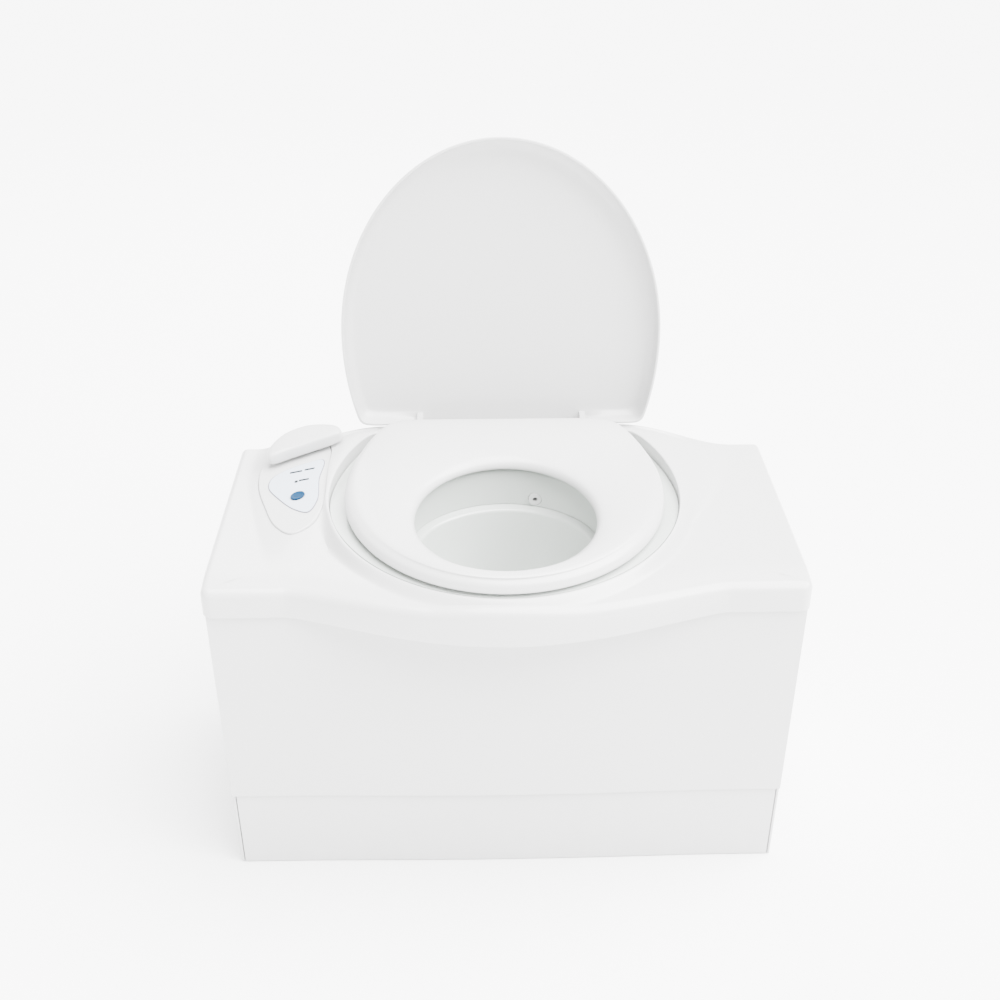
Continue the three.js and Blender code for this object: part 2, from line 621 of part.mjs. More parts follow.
function driveLever() {
  const tip = crankTip(VALVE);
  const shaft = post(VALVE.x, VALVE.y, 6, SHELF_Z + 0.3, LINK_Z + 9, 16);
  const collar = post(VALVE.x, VALVE.y, 9, SHELF_Z + WALL + 0.4, LINK_Z + 5, 16);
  const arm = link(VALVE, tip, 7, LINK_Z, LINK_Z + 5);
  const tongue = box(VALVE.x - 1.8, VALVE.x + 1.8, VALVE.y - 5.6, VALVE.y + 5.6, 236, SHELF_Z + 1);
  return join(shaft, collar, arm, tongue, post(tip.x, tip.y, PIN_R, LINK_Z + 4, LINK_Z + 13, 16));
}

// ---------------------------------------------------------------- cassette
const SPOUT = { x: 156, y: 138, floor: 166, z: 202, end: 66 };
const HANDLE_BAR = { half: 62, z: 140, y: 164, drop: 44 };

function cassetteTank() {
  const { x, front, back, bottom, top } = CASSETTE;
  const outer = prism(roundedRectangle(-x, x, front, back, 18), bottom, top);
  const innerPlan = roundedRectangle(-x + WALL, x - WALL, front + WALL, back - WALL, 15);
  const inner = prism(innerPlan, bottom + WALL, top - WALL);
  const pocket = box(40, x + 5, 116, back + 5, SPOUT.floor, top + 5);
  const pocketWall = box(40 - WALL, x + 5, 116 - WALL, back + 5, SPOUT.floor - WALL, top + 5);
  const holes = [
    post(OUTLET.x, OUTLET.y, 56, top - 20, top + 5, 28), post(VALVE.x, VALVE.y, 4.6, top - 20, top + 5, 20),
    post(SPOUT.x, SPOUT.y, 11, 150, 190, 16), barY(VENT.x, back - 10, back + 5, VENT.z, VENT.r + GAP, 20),
  ];
  const hollow = solidOf(inner).subtract(solidOf(pocketWall));
  const shell = solidOf(outer).subtract(hollow).subtract(solidOf(pocket));
  return cut(geometryOf(shell), ...holes);
}

// Bracket on the tank's rear wall, with a hole for the carry handle's pin.
function handleBracket(side) {
  const [x0, x1] = [side * (HANDLE_BAR.half + 2), side * (HANDLE_BAR.half + 9)].sort((a, b) => a - b);
  const { y, z } = HANDLE_BAR;
  return cut(box(x0, x1, CASSETTE.back + GAP, y + 5, z - 6, z + 6), barX(-90, 90, y, z, PIN_R + 0.35, 16));
}
const VENT = { x: -130, z: 196, r: 8 };

const lipSeal = () => turned(OUTLET.x, OUTLET.y, [
  [45, 229.8], [55.6, 229.8], [55.6, 234.4], [61, 234.4], [61, 235.8], [47, 235.8], [45, 234],
], 16);

function valveBlade() {
  const disc = post(OUTLET.x, OUTLET.y, 54, 225.4, 229.4, 28);
  const arm = link(VALVE, new THREE.Vector2(OUTLET.x, OUTLET.y), 9, 223, 229.4);
  return join(disc, arm, post(VALVE.x, VALVE.y, 4.2, 226, 235.7, 20));
}

function bladeDog() {
  const disc = post(VALVE.x, VALVE.y, 9.5, 234.5, 235.6, 16);
  const rib = (x0, x1) => box(VALVE.x + x0, VALVE.x + x1, VALVE.y - 6, VALVE.y + 6, 235.2, 238);
  const slotted = join(disc, rib(-6.5, -2.4), rib(2.4, 6.5));
  return cut(slotted, post(VALVE.x, VALVE.y, 4.5, 230, 235.9, 20));
}

function pourSpout() {
  const { x, y, floor, z, end } = SPOUT;
  const tube = along([
    [x, y, floor + 3], [x, y, floor + 12], [x - 6, y, z - 10], [x - 22, y, z], [x - 44, y, z], [end, y, z],
  ], 15, 10, 5, 11.5);
  const flange = turned(x, y, [
    [11.5, floor + 0.4], [18, floor + 0.4], [18, floor + 6], [11.5, floor + 6],
  ], 16);
  return join(tube, flange);
}

function spoutCap() {
  const { y, z, end } = SPOUT;
  const cap = barX(end - 10, end + 8, y, z, 18, 16);
  return cut(cap, barX(end - GAP, end + 20, y, z, 15.4, 16));
}

const ventButton = () => join(
  barY(VENT.x, CASSETTE.back - 9, CASSETTE.back + 7, VENT.z, VENT.r, 20),
  barY(VENT.x, CASSETTE.back - 12, CASSETTE.back - 8, VENT.z, VENT.r + 2, 20));

function carryHandle() {
  const { half, z, y, drop } = HANDLE_BAR;
  const outer = roundedRectangle(-half, half, z - drop, z + 3.5, 8);
  outer.holes.push(roundedRectangle(-half + 10, half - 10, z - drop + 14, z - 7, 5));
  const bail = new THREE.ExtrudeGeometry(outer, { depth: 8, bevelEnabled: false }).rotateX(Math.PI / 2)
    .translate(0, y + 4, 0);
  return join(bail, barX(-half - 8, half + 8, y, z, PIN_R, 16));
}

const FLOAT = { x: 110, y: -30, z: 205, arm: 90 };
const FLOAT_DROP = THREE.MathUtils.degToRad(48);

function floatBracket() {
  const { x, y, z } = FLOAT;
  const cheek = (side) => box(x + side * 7 - 2, x + side * 7 + 2, y - 6, y + 6, z - 6, 228);
  const bridge = box(x - 9, x + 9, y - 6, y + 6, 224, CASSETTE.top - WALL - GAP);
  return join(cheek(-1), cheek(1), bridge, barX(x - 8, x + 8, y, z, PIN_R, 16));
}

function levelFloat() {
  const { x, y, z, arm } = FLOAT;
  const eye = barX(x - 4, x + 4, y, z, 5.5, 20);
  const rod = box(x - 2, x + 2, y - arm, y - 4, z - 2, z + 2);
  const buoy = new THREE.SphereGeometry(22, 12, 8).scale(1, 1, 0.6).translate(x, y - arm + 4, z);
  const whole = cut(join(eye, rod, buoy), barX(x - 9, x + 9, y, z, PIN_R + 0.35, 16));
  return whole.translate(0, -y, -z).rotateX(FLOAT_DROP).translate(0, y, z);
}

// ---------------------------------------------------------------- hinge, seat and lid
function hingeBase() {
  const plate = box(-127, 127, 147, 165, 452, 458);
  const lug = (x0, x1) => join(
    barX(x0, x1, HINGE_Y, HINGE_Z, EYE_R, 16), box(x0, x1, HINGE_Y - 5, HINGE_Y + 5, 457, HINGE_Z));
  const bracket = join(plate, ...LUGS.map(([x0, x1]) => lug(x0, x1)));
  return cut(bracket, barX(-130, 130, HINGE_Y, HINGE_Z, PIN_R + 0.1, 16));
}
const LUGS = [[-126, -120], [-104, -98], [98, 104], [120, 126]];

const hingePin = (side) => side > 0
  ? barX(97, 127, HINGE_Y, HINGE_Z, PIN_R, 16)
  : barX(-127, -97, HINGE_Y, HINGE_Z, PIN_R, 16);

// Seat ring in plan: outer edge and opening at one angle, with heights above the rim plane.
function seat() {
  const OUT = { x: 195.5, front: 197, rear: 225, cy: -10, cut: 143 };
  const IN = { x: 108, front: 106, rear: 112, cy: -70 };
  const outer = (angle, shrink) => {
    const ry = Math.sin(angle) > 0 ? OUT.rear : OUT.front;
    const r = 1 / Math.hypot(Math.cos(angle) / OUT.x, Math.sin(angle) / ry) - shrink;
    const reach = Math.sin(angle) > 0 ? (OUT.cut - shrink - OUT.cy) / Math.sin(angle) : Infinity;
    const kept = -Math.log(Math.exp(-r / 9) + Math.exp(-reach / 9)) * 9;
    return new THREE.Vector2(kept * Math.cos(angle), OUT.cy + kept * Math.sin(angle));
  };
  const inner = (angle, widen) => new THREE.Vector2(
    (IN.x + widen) * Math.cos(angle),
    IN.cy + (Math.sin(angle) > 0 ? IN.rear + widen : IN.front + widen) * Math.sin(angle));
  const kick = (y) => SEAT_KICK * smooth((y - 60) / 70);
  const lift = (p, h) => vec(p.x, p.y, rimZ(p.y) + h + (h > 9 ? kick(p.y) : 0));
  const rows = Array.from({ length: 40 }, (_, i) => {
    const angle = 2 * Math.PI * i / 40;
    const o = outer(angle, 0);
    const q = inner(angle, 0);
    const between = (t, h) => lift(o.clone().lerp(q, t), h);
    return [
      lift(outer(angle, 2), 3.2), lift(o, 6), lift(outer(angle, 1.5), 11), lift(outer(angle, 6), 16.5),
      between(0.22, 20.5), between(0.45, 22), between(0.7, 20),
      lift(inner(angle, 6), 15.5), lift(inner(angle, 1.2), 10), lift(q, 5), lift(inner(angle, 3), 3.2),
    ];
  });
  const ears = [[-119.6, -112.2], [112.2, 119.6]].map(([x0, x1]) => join(
    barX(x0, x1, HINGE_Y, HINGE_Z, EYE_R, 16), box(x0, x1, 120, HINGE_Y, HINGE_Z - 3, HINGE_Z + 4)));
  return cut(join(surface(rows, true), ...ears), barX(-130, 130, HINGE_Y, HINGE_Z, PIN_R + 0.1, 16));
}

// Lid in its own frame: x across, a from the hinge towards the tip, b outwards along local -Z.
const LID = { x: 207, middle: 118, tip: 250, tail: 277, start: -3, top: 26, lip: 0 };
const lidPlace = (x, a, b) => vec(x, a, -b);
const openLid = (geometry) =>
  geometry.rotateX(Math.PI / 2 - LID_LEAN).translate(0, HINGE_Y, HINGE_Z);

function lidEdge(angle, shrink) {
  const ra = Math.sin(angle) > 0 ? LID.tip : LID.tail;
  const r = 1 / Math.hypot(Math.cos(angle) / LID.x, Math.sin(angle) / ra) - shrink;
  const reach = Math.sin(angle) < 0 ? (LID.start + shrink - LID.middle) / Math.sin(angle) : Infinity;
  const kept = -Math.log(Math.exp(-r / 6) + Math.exp(-reach / 6)) * 6;
  return new THREE.Vector2(kept * Math.cos(angle), LID.middle + kept * Math.sin(angle));
}

function lid() {
  const rows = Array.from({ length: 44 }, (_, i) => {
    const angle = 2 * Math.PI * i / 44;
    const at = (shrink, b) => {
      const p = lidEdge(angle, shrink);
      return lidPlace(p.x, p.y, b);
    };
    const part = (t, b) => {
      const p = lidEdge(angle, 16);
      return lidPlace(p.x * t, LID.middle + (p.y - LID.middle) * t, b);
    };
    const cropped = smooth((-0.6 - Math.sin(angle)) / 0.16);
    const lip = (b, highest) => b + (highest - b) * cropped;
    return [
      lidPlace(0, LID.middle, LID.top + 3), part(0.5, LID.top + 2.5), part(1, LID.top),
      at(9, lip(LID.top - 3, 25.8)), at(2.5, lip(LID.top - 10, 25.4)), at(0, lip(LID.lip + 3, 24.4)),
      at(0.6, lip(LID.lip, 22.8)), at(2.8, lip(LID.lip, 22.4)), at(3.6, lip(LID.lip + 3, 22.4)),
      at(5.5, lip(LID.top - 12, 22.4)), at(11, lip(LID.top - 6.5, 22.5)), part(1, LID.top - 3.4),
      part(0.5, LID.top - 1.6),
      lidPlace(0, LID.middle, LID.top - 1.2),
    ];
  });
  const ears = [[-111.8, -104.4], [104.4, 111.8]].map(([x0, x1]) => join(
    barX(x0, x1, 0, 0, EYE_R, 16), box(x0, x1, -1, 9, 2 - LID.top, 0)));
  const notch = (sign) => box(...(sign > 0 ? [95, 129] : [-129, -95]), -20, 9.5, -9.5, 8);
  const body = cut(surface(rows, false), notch(1), notch(-1));
  return openLid(cut(join(body, ...ears), barX(-130, 130, 0, 0, PIN_R + 0.1, 16)));
}

function seatBumper(x, y) {
  const foot = prism(roundedRectangle(x - 8, x + 8, y - 5, y + 5, 4.9), -8, 0);
  const position = foot.attributes.position;
  for (let i = 0; i < position.count; i += 1) {
    const py = position.getY(i);
    const drop = position.getZ(i) < -1 ? 0.76 * (wellDepth(y) - BOWL_WALL - GAP) : -2.8;
    position.setZ(i, rimZ(py) - drop);
  }
  return foot;
}

const floorScrew = ([x, y]) => join(post(x, y, 2.6, 0.5, 6, 12), post(x, y, 6, 5.4, 8, 16));

// ---------------------------------------------------------------- assembly
add('base_tray', baseTray(), GREY);
add('plinth', uprightSheet(-0.987, 0.987, PANEL_Y + 3, 3, 0.2, PANEL_BOTTOM_Z - 0.6, halfAt, 16), WHITE);
add('front_panel', uprightSheet(-1, 1, PANEL_Y, PANEL_BOW, PANEL_BOTTOM_Z, PANEL_TOP_Z, halfAt, 28), WHITE);
add('side_panel_left', sidePanel(-1), WHITE);
add('side_panel_right', sidePanel(1), WHITE);
add('back_frame', backFrame(), WHITE);
add('bay_wall_left', bayWall(-1), GREY);
add('bay_wall_right', bayWall(1), GREY);
add('support_shelf', supportShelf(), GREY);
add('runner_left', box(-178, -160, -148, 156, 5.4, 9.6), TANK_GREY);
add('runner_right', box(160, 178, -148, 156, 5.4, 9.6), TANK_GREY);
FLOOR_SCREWS.forEach((place, i) => add(`floor_screw_${i + 1}`, floorScrew(place), STEEL));

add('bench_top', benchTop(), WHITE);
add('bowl_rim', bowlRim(), BOWL_WHITE);
add('bowl', bowl(), BOWL_WHITE);
add('bowl_seal', turned(OUTLET.x, OUTLET.y, [
  [50.4, 236.3], [57, 236.3], [60, 239], [60, 250], [50.4, 250],
], 40), RUBBER);
add('flush_nozzle', flushNozzle(), WHITE);
add('flush_hose', flushHose(), DARK);
add('water_tank', waterTank(), TANK_GREY);
add('pump', pump(), DARK);
add('fill_neck', fillNeck(), DARK);
add('fill_cap', fillCap(), WHITE);
add('drain_plug', drainPlug(), RUBBER);

add('control_pod', controlPod(), WHITE);
add('control_membrane', controlMembrane(), MEMBRANE);
add('control_board', controlBoard(), GREEN);
add('indicator_lens', indicatorLens(-262, 46), DARK);
add('flush_button', flushButton(), BLUE);
add('pump_cable', pumpCable(), RUBBER);

add('valve_handle', valveHandle(), WHITE);
add('handle_bush', handleBush(), GREY);
add('handle_spindle', handleSpindle(), DARK);
add('transfer_crank', transferCrank(), DARK);
add('shaft_bracket', shaftBracket(), GREY);
add('connecting_rod', connectingRod(), STEEL);
add('drive_lever', driveLever(), DARK);

add('cassette_tank', cassetteTank(), TANK_GREY);
add('handle_bracket_left', handleBracket(-1), TANK_GREY);
add('handle_bracket_right', handleBracket(1), TANK_GREY);
add('lip_seal', lipSeal(), RUBBER);
add('valve_blade', valveBlade(), GREY);
add('blade_dog', bladeDog(), DARK);
add('pour_spout', pourSpout(), GREY);
add('spout_cap', spoutCap(), DARK);
add('vent_button', ventButton(), BLUE);
add('carry_handle', carryHandle(), DARK);
add('float_bracket', floatBracket(), GREY);
add('level_float', levelFloat(), DARK);

add('hinge_base', hingeBase(), WHITE);
add('hinge_pin_left', hingePin(-1), STEEL);
add('hinge_pin_right', hingePin(1), STEEL);
add('seat', seat(), WHITE);
add('seat_bumper_front_left', seatBumper(-95, -150), RUBBER);
add('seat_bumper_front_right', seatBumper(95, -150), RUBBER);
add('seat_bumper_rear_left', seatBumper(-130, 70), RUBBER);
add('seat_bumper_rear_right', seatBumper(130, 70), RUBBER);
add('lid', lid(), WHITE);

export default object;
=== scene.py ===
# %% [markdown]
# A caravan's cassette toilet, finished in Blender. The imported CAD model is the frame: it fixes every
# size, hinge and gap. This script gives the visible mouldings their true curved surfaces, and gives
# every other piece a moulded-plastic, rubber or steel finish.

# %% Load the frame
import json
import math

import bmesh
import bpy
import numpy as np
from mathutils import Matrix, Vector


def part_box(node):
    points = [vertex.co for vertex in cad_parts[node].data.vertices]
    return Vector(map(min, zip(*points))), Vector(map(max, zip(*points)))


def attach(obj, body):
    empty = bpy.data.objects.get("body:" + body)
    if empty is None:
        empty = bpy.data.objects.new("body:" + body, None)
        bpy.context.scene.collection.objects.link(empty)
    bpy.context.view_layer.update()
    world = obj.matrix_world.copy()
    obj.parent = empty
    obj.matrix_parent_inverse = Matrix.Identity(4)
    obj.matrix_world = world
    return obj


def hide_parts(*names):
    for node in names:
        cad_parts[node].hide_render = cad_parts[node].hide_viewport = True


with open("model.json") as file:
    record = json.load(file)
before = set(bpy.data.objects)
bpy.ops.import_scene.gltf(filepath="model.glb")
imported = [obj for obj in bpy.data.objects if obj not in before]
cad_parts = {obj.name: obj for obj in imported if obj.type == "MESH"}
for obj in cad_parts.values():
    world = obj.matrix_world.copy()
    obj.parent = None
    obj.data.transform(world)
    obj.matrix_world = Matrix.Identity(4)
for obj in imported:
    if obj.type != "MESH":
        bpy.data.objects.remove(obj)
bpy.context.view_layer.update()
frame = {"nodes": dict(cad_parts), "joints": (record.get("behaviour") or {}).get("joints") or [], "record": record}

print("frame nodes:", len(frame["nodes"]))

# %% [markdown]
# The driving sizes are read from the frame, in millimetres, so that a fine surface lies where its
# CAD solid does. The few shape numbers that a box can't give, such as how much the front swells,
# are named here.

# %% Sizes
MM = 0.001
JOINTS = {joint["name"]: joint for joint in frame["joints"]}


def box_mm(node):
    """Lowest and highest corner of a CAD node, in millimetres."""
    low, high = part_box(node)
    return np.array(low) / MM, np.array(high) / MM


TOP_LOW, TOP_HIGH = box_mm("bench_top")
HALF_WIDTH = TOP_HIGH[0]
BACK_Y = TOP_HIGH[1]
BULGE = 53.0
BULGE_HALF = 255.0
BULGE_DIP = 7.0
FRONT_Y = TOP_LOW[1] + BULGE
SKIRT_Z = TOP_LOW[2] + BULGE_DIP
DECK_Z = SKIRT_Z + 39
WALL = 3.0
HINGE = np.array(JOINTS["lid_hinge"]["pos_m"]) / MM
HUB = np.array(JOINTS["valve_handle_turn"]["pos_m"]) / MM
HUB_AXIS = -np.array(JOINTS["valve_handle_turn"]["axis"])
RIM_Y = -205.0
RIM_Z = 432.0
RIM_SLOPE = 0.085
WELL = {"x": 216.0, "front": 208.0, "rear": 230.0, "cy": 2.0, "cut": 146.0}
MOUTH_Y = -68.0
OUTLET_Y = -50.0
LID_LEAN = math.radians(9)
EYE_R = 5.6
PIN_HOLE_R = 3.1
SEAT_EAR = (112.2, 119.6)
LID_EAR = (104.4, 111.8)
POD_BASE = np.array([-318.0, 0.0, 425.0])
POD_SLOPE = np.array([0.2, 0.05])
print("bench top", 2 * HALF_WIDTH, "mm wide, hinge at", HINGE)

# %% [markdown]
# Every moulding here is a section carried round an outline. A station is one ring of points round
# the outline, and a piece is the skin between its stations. Real mouldings have no sharp corners,
# so one helper replaces each corner of the section with a short parabola.

# %% Section helpers
SHARP = 0.01
SOFT = 99.0


def smooth(t):
    """Smoothstep: 3t² − 2t³, with t held between 0 and 1."""
    t = np.clip(t, 0, 1)
    return t * t * (3 - 2 * t)


def rounded(stations, cut, steps=4, closed=False):
    """Rounds a section's corners. Each corner becomes a parabola whose ends lie a cut away along both
    legs, and never past the middle of a leg: (1−u)²A + 2u(1−u)P + u²B. A SHARP cut keeps the corner,
    and a SOFT one takes both legs up to their middles."""
    points = np.stack([np.asarray(s, float) for s in stations])
    before, after = np.roll(points, 1, 0), np.roll(points, -1, 0)
    cuts = np.broadcast_to(np.asarray(cut, float), (len(points),))[:, None, None]

    def towards(other):
        leg = other - points
        length = np.maximum(np.linalg.norm(leg, axis=2, keepdims=True), 1e-9)
        return points + leg * np.minimum(0.5, cuts / length)

    start, end = towards(before), towards(after)
    u = np.linspace(0, 1, steps + 1)[None, :, None, None]
    curves = (1 - u) ** 2 * start[:, None] + 2 * u * (1 - u) * points[:, None] + u ** 2 * end[:, None]
    if closed:
        return curves.reshape(-1, *points.shape[1:])
    inner = curves[1:-1].reshape(-1, *points.shape[1:])
    return np.concatenate([points[:1], inner, points[-1:]])


def ring_faces(rows, columns, closed_rows):
    """Quads between neighbouring stations. Columns always join round; rows do where the section closes."""
    i = np.arange(rows if closed_rows else rows - 1)[:, None]
    j = np.arange(columns)[None, :]
    below, beyond = (i + 1) % rows, (j + 1) % columns
    quads = [i * columns + j, below * columns + j, below * columns + beyond, i * columns + beyond]
    return np.stack(np.broadcast_arrays(*quads), -1).reshape(-1, 4)


print("section helpers ready")

# %% [markdown]
# A mesh is tidied once when it is made: points that meet are merged, empty faces go, and the
# normals are turned outwards. An edge stays crisp only where the surface really turns a corner.

# %% Mesh helpers
CREASE = math.radians(38)


def tidy(obj):
    """Merges meeting points, drops empty faces, turns normals out, and marks the crisp edges."""
    mesh = bmesh.new()
    mesh.from_mesh(obj.data)
    bmesh.ops.remove_doubles(mesh, verts=mesh.verts, dist=2e-6)
    bmesh.ops.dissolve_degenerate(mesh, dist=1e-7, edges=mesh.edges)
    bmesh.ops.recalc_face_normals(mesh, faces=mesh.faces)
    for face in mesh.faces:
        face.smooth = True
    for edge in mesh.edges:
        edge.smooth = len(edge.link_faces) != 2 or edge.calc_face_angle(0) < CREASE
    mesh.to_mesh(obj.data)
    mesh.free()
    return obj


def skin(name, stations, closed=False):
    """A new object from stations given in millimetres."""
    grid = np.asarray(stations, float)
    data = bpy.data.meshes.new(name)
    faces = ring_faces(len(grid), grid.shape[1], closed)
    data.from_pydata((grid.reshape(-1, 3) * MM).tolist(), [], faces.tolist())
    obj = bpy.data.objects.new(name, data)
    bpy.context.scene.collection.objects.link(obj)
    return tidy(obj)


def carve(obj, tools, operation="DIFFERENCE"):
    """Cuts or joins tools with a piece, writes the result into its mesh, and removes the tools."""
    for tool in tools:
        change = obj.modifiers.new("carve", "BOOLEAN")
        change.operation = operation
        change.solver = "EXACT"
        change.object = tool
    graph = bpy.context.evaluated_depsgraph_get()
    result = bpy.data.meshes.new_from_object(obj.evaluated_get(graph))
    obj.modifiers.clear()
    obj.data = result
    for tool in tools:
        bpy.data.objects.remove(tool)
    return tidy(obj)


def stand_for(obj, node):
    """The new piece takes over a CAD node: its body and its material slot's finish, and the node is hidden."""
    slots = {part["node"]: part["material_slot"] for part in frame["record"]["subparts"]}
    bodies = frame["record"]["behaviour"]["bodies"]
    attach(obj, next(body for body, nodes in bodies.items() if node in nodes))
    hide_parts(node)
    obj.data.materials.clear()
    obj.data.materials.append(FINISH[slots[node]])
    print(obj.name, "faces:", len(obj.data.polygons))


print("mesh helpers ready, edges crisp past", round(math.degrees(CREASE)), "degrees")

# %% [markdown]
# Shader maths reads best as plain expressions. A small class wraps a socket, so that a sum or a
# product of sockets adds its own Math node, and one method makes every other node.

# %% Shader helper


class Sock:
    """A number-valued output socket that can be used in arithmetic."""

    def __init__(self, graph, socket):
        self.graph = graph
        self.socket = socket

    def math(self, operation, *values):
        return self.graph.node("ShaderNodeMath", {"operation": operation}, dict(enumerate(values)))

    def __add__(self, other):
        return self.math("ADD", self, other)

    def __sub__(self, other):
        return self.math("SUBTRACT", self, other)

    def __rsub__(self, other):
        return self.math("SUBTRACT", other, self)

    def __mul__(self, other):
        return self.math("MULTIPLY", self, other)

    def __truediv__(self, other):
        return self.math("DIVIDE", self, other)

    def __rtruediv__(self, other):
        return self.math("DIVIDE", other, self)

    __radd__ = __add__
    __rmul__ = __mul__

    def below(self, limit):
        """1 where the value is under a limit."""
        return self.math("LESS_THAN", self, limit)

    def size(self):
        """The value without its sign."""
        return self.math("ABSOLUTE", self)

    def fade(self, start, end):
        """A mask that runs smoothly from 0 at start to 1 at end."""
        return self.graph.node(
            "ShaderNodeMapRange", {"interpolation_type": "SMOOTHSTEP"},
            {"Value": self, "From Min": start, "From Max": end, "To Min": 0.0, "To Max": 1.0})


class Graph:
    """One material's nodes, with Object coordinates at hand."""

    def __init__(self, name):
        self.material = bpy.data.materials.new(name)
        self.material.use_nodes = True
        self.tree = self.material.node_tree
        self.shader = self.tree.nodes["Principled BSDF"]
        self.place = self.node("ShaderNodeTexCoord", {}, {}, "Object")
        split = self.node("ShaderNodeSeparateXYZ", {}, {"Vector": self.place}).socket.node
        self.x, self.y, self.z = (Sock(self, output) for output in split.outputs)

    def node(self, kind, settings, values, output=0):
        """A node of a type: its settings first, then a value or link for each of its sockets."""
        made = self.tree.nodes.new(kind)
        for key, value in settings.items():
            setattr(made, key, value)
        for key, value in values.items():
            self.feed(made.inputs[key], value)
        return Sock(self, made.outputs[output])

    def feed(self, socket, value):
        """Links a wrapped socket, or sets a plain value."""
        if isinstance(value, Sock):
            self.tree.links.new(value.socket, socket)
        else:
            socket.default_value = value

    def noise(self, scale, detail=2.0, stretch=(1, 1, 1)):
        """Noise between 0 and 1. Scale is in lumps per metre, and stretch multiplies each axis."""
        spread = self.node("ShaderNodeMapping", {}, {"Vector": self.place, "Scale": stretch})
        sockets = {"Vector": spread, "Scale": scale, "Detail": detail}
        return self.node("ShaderNodeTexNoise", {}, sockets, "Fac")

    def blend(self, mask, low, high):
        """Colour that goes from low to high with a mask."""
        sockets = {0: mask, 6: (*low, 1) if isinstance(low, tuple) else low, 7: (*high, 1)}
        return self.node("ShaderNodeMix", {"data_type": "RGBA"}, sockets, 2)

    def bump(self, height, depth):
        """Normal from a height between 0 and 1, for a depth in metres."""
        return self.node("ShaderNodeBump", {}, {"Height": height, "Strength": 1.0, "Distance": depth})

    def finish(self, fixed, **changing):
        """Sets the shader's fixed values on its own sockets and links those that change."""
        for key, value in {**fixed, **changing}.items():
            self.feed(self.shader.inputs[key.replace("_", " ")], value)
        return self.material


print("shader helper ready")

# %% [markdown]
# White injection-moulded plastic is never quite even. It has a slow change of tone where the melt
# ran, a fine orange peel that softens its highlights, and a little more wear low down, where shoes
# and brooms reach it.

# %% White moulding


def white_moulding(name, tone, roughness, peel=6e-6, coat=0.35):
    """Glossy white plastic, with wear that fades out 160 mm above the floor."""
    graph = Graph(name)
    slow = graph.noise(5.0, 3.0)
    low_down = graph.z.fade(0.16, 0.0)
    scuff = graph.noise(60.0, 4.0, (1, 1, 0.25)) * low_down
    shade = tuple(value * 0.965 for value in tone)
    worn = tuple(value * 0.9 for value in tone)
    colour = graph.blend(scuff * 0.7, graph.blend(slow, shade, tone), worn)
    return graph.finish(
        {"Coat Roughness": 0.12, "Specular IOR Level": 0.5, "Coat Weight": coat},
        Base_Color=colour,
        Roughness=roughness - 0.05 + graph.noise(35.0, 3.0) * 0.1 + scuff * 0.2,
        Normal=graph.bump(graph.noise(900.0, 2.0), peel))


print("white moulding ready")

# %% [markdown]
# The other plastics differ in grain and in how much they have been handled: tanks are blow-moulded
# and slightly wavy, brackets are finely grained, and dark fittings show pale rubbing.

# %% Grained plastics, tank, rubber and steel


def grained(name, tone, roughness, grain, depth, rub=0.12):
    """Matt plastic or rubber: fine grain, and patches that handling has rubbed paler and smoother."""
    graph = Graph(name)
    patch = graph.noise(22.0, 4.0)
    rubbed = tuple(min(1.0, value + rub) for value in tone)
    rubbing = patch.fade(0.56, 0.8)
    return graph.finish(
        {"Specular IOR Level": 0.2},
        Base_Color=graph.blend(rubbing * 0.5, tone, rubbed),
        Roughness=roughness + patch * 0.14 - rubbing * 0.1,
        Normal=graph.bump(graph.noise(grain, 3.0), depth))


def blown_tank(name, tone):
    """Blow-moulded plastic: slow waves with a faint grain over them."""
    graph = Graph(name)
    waves = graph.noise(18.0, 2.0)
    grain = graph.noise(700.0, 2.0)
    milky = tuple(value * 0.92 for value in tone)
    return graph.finish(
        {"Specular IOR Level": 0.4},
        Base_Color=graph.blend(waves, milky, tone),
        Roughness=0.4 + graph.noise(40.0, 3.0) * 0.16,
        Normal=graph.bump(waves * 0.9 + grain * 0.1, 3e-4))


def turned_steel(name, tone):
    """Steel with fine tool lines round its length, which lies across X."""
    graph = Graph(name)
    lines = graph.noise(120.0, 3.0, (1, 14, 14))
    dull = tuple(value * 0.8 for value in tone)
    return graph.finish(
        {"Metallic": 1.0},
        Base_Color=graph.blend(lines, dull, tone),
        Roughness=0.22 + lines * 0.2,
        Normal=graph.bump(lines, 8e-6))


print("grained plastic, tank and steel ready")

# %% [markdown]
# The control film is printed. Its marks are plain dashes beside the level light, and its edge, where it drops
# towards
# the pod, is coloured dark grey: painted shade along its rim. The dashes are boxes in Object coordinates, so they
# stay on the film.

# %% Printed film, button and circuit board


def box_mask(graph, x0, x1, y0, y1):
    """1 inside an upright rectangle given in millimetres."""
    across = (graph.x - (x0 + x1) / 2 * MM).size().below((x1 - x0) / 2 * MM)
    along = (graph.y - (y0 + y1) / 2 * MM).size().below((y1 - y0) / 2 * MM)
    return across * along


DASHES = [(-273, -257, 69, 73), (-254, -241, 70, 74), (-259, -246, 46, 50)]


def printed_film(name, tone):
    """Film with dark dashes, and painted shade: dark grey where its edge drops towards the pod's plane."""
    graph = Graph(name)
    marks = box_mask(graph, *DASHES[0])
    for dash in DASHES[1:]:
        marks = marks + box_mask(graph, *dash)
    cloud = graph.noise(30.0, 3.0)
    uphill = (graph.x - POD_BASE[0] * MM) * POD_SLOPE[0]
    plane = uphill + graph.y * POD_SLOPE[1] + POD_BASE[2] * MM
    # Painted shade: the film's rim, less than 2.12 mm above the pod's plane, is coloured dark grey.
    painted_edge_shade = (graph.z - plane).below(0.00212)
    printed = graph.blend(cloud, tuple(value * 0.97 for value in tone), tone)
    plain = graph.blend(painted_edge_shade, printed, (0.16, 0.15, 0.20))
    return graph.finish(
        {"Specular IOR Level": 0.1},
        Base_Color=graph.blend(marks, plain, (0.004, 0.005, 0.007)),
        Roughness=0.42 + cloud * 0.1 - marks * 0.1,
        Normal=graph.bump(graph.noise(2200.0, 2.0), 6e-6))


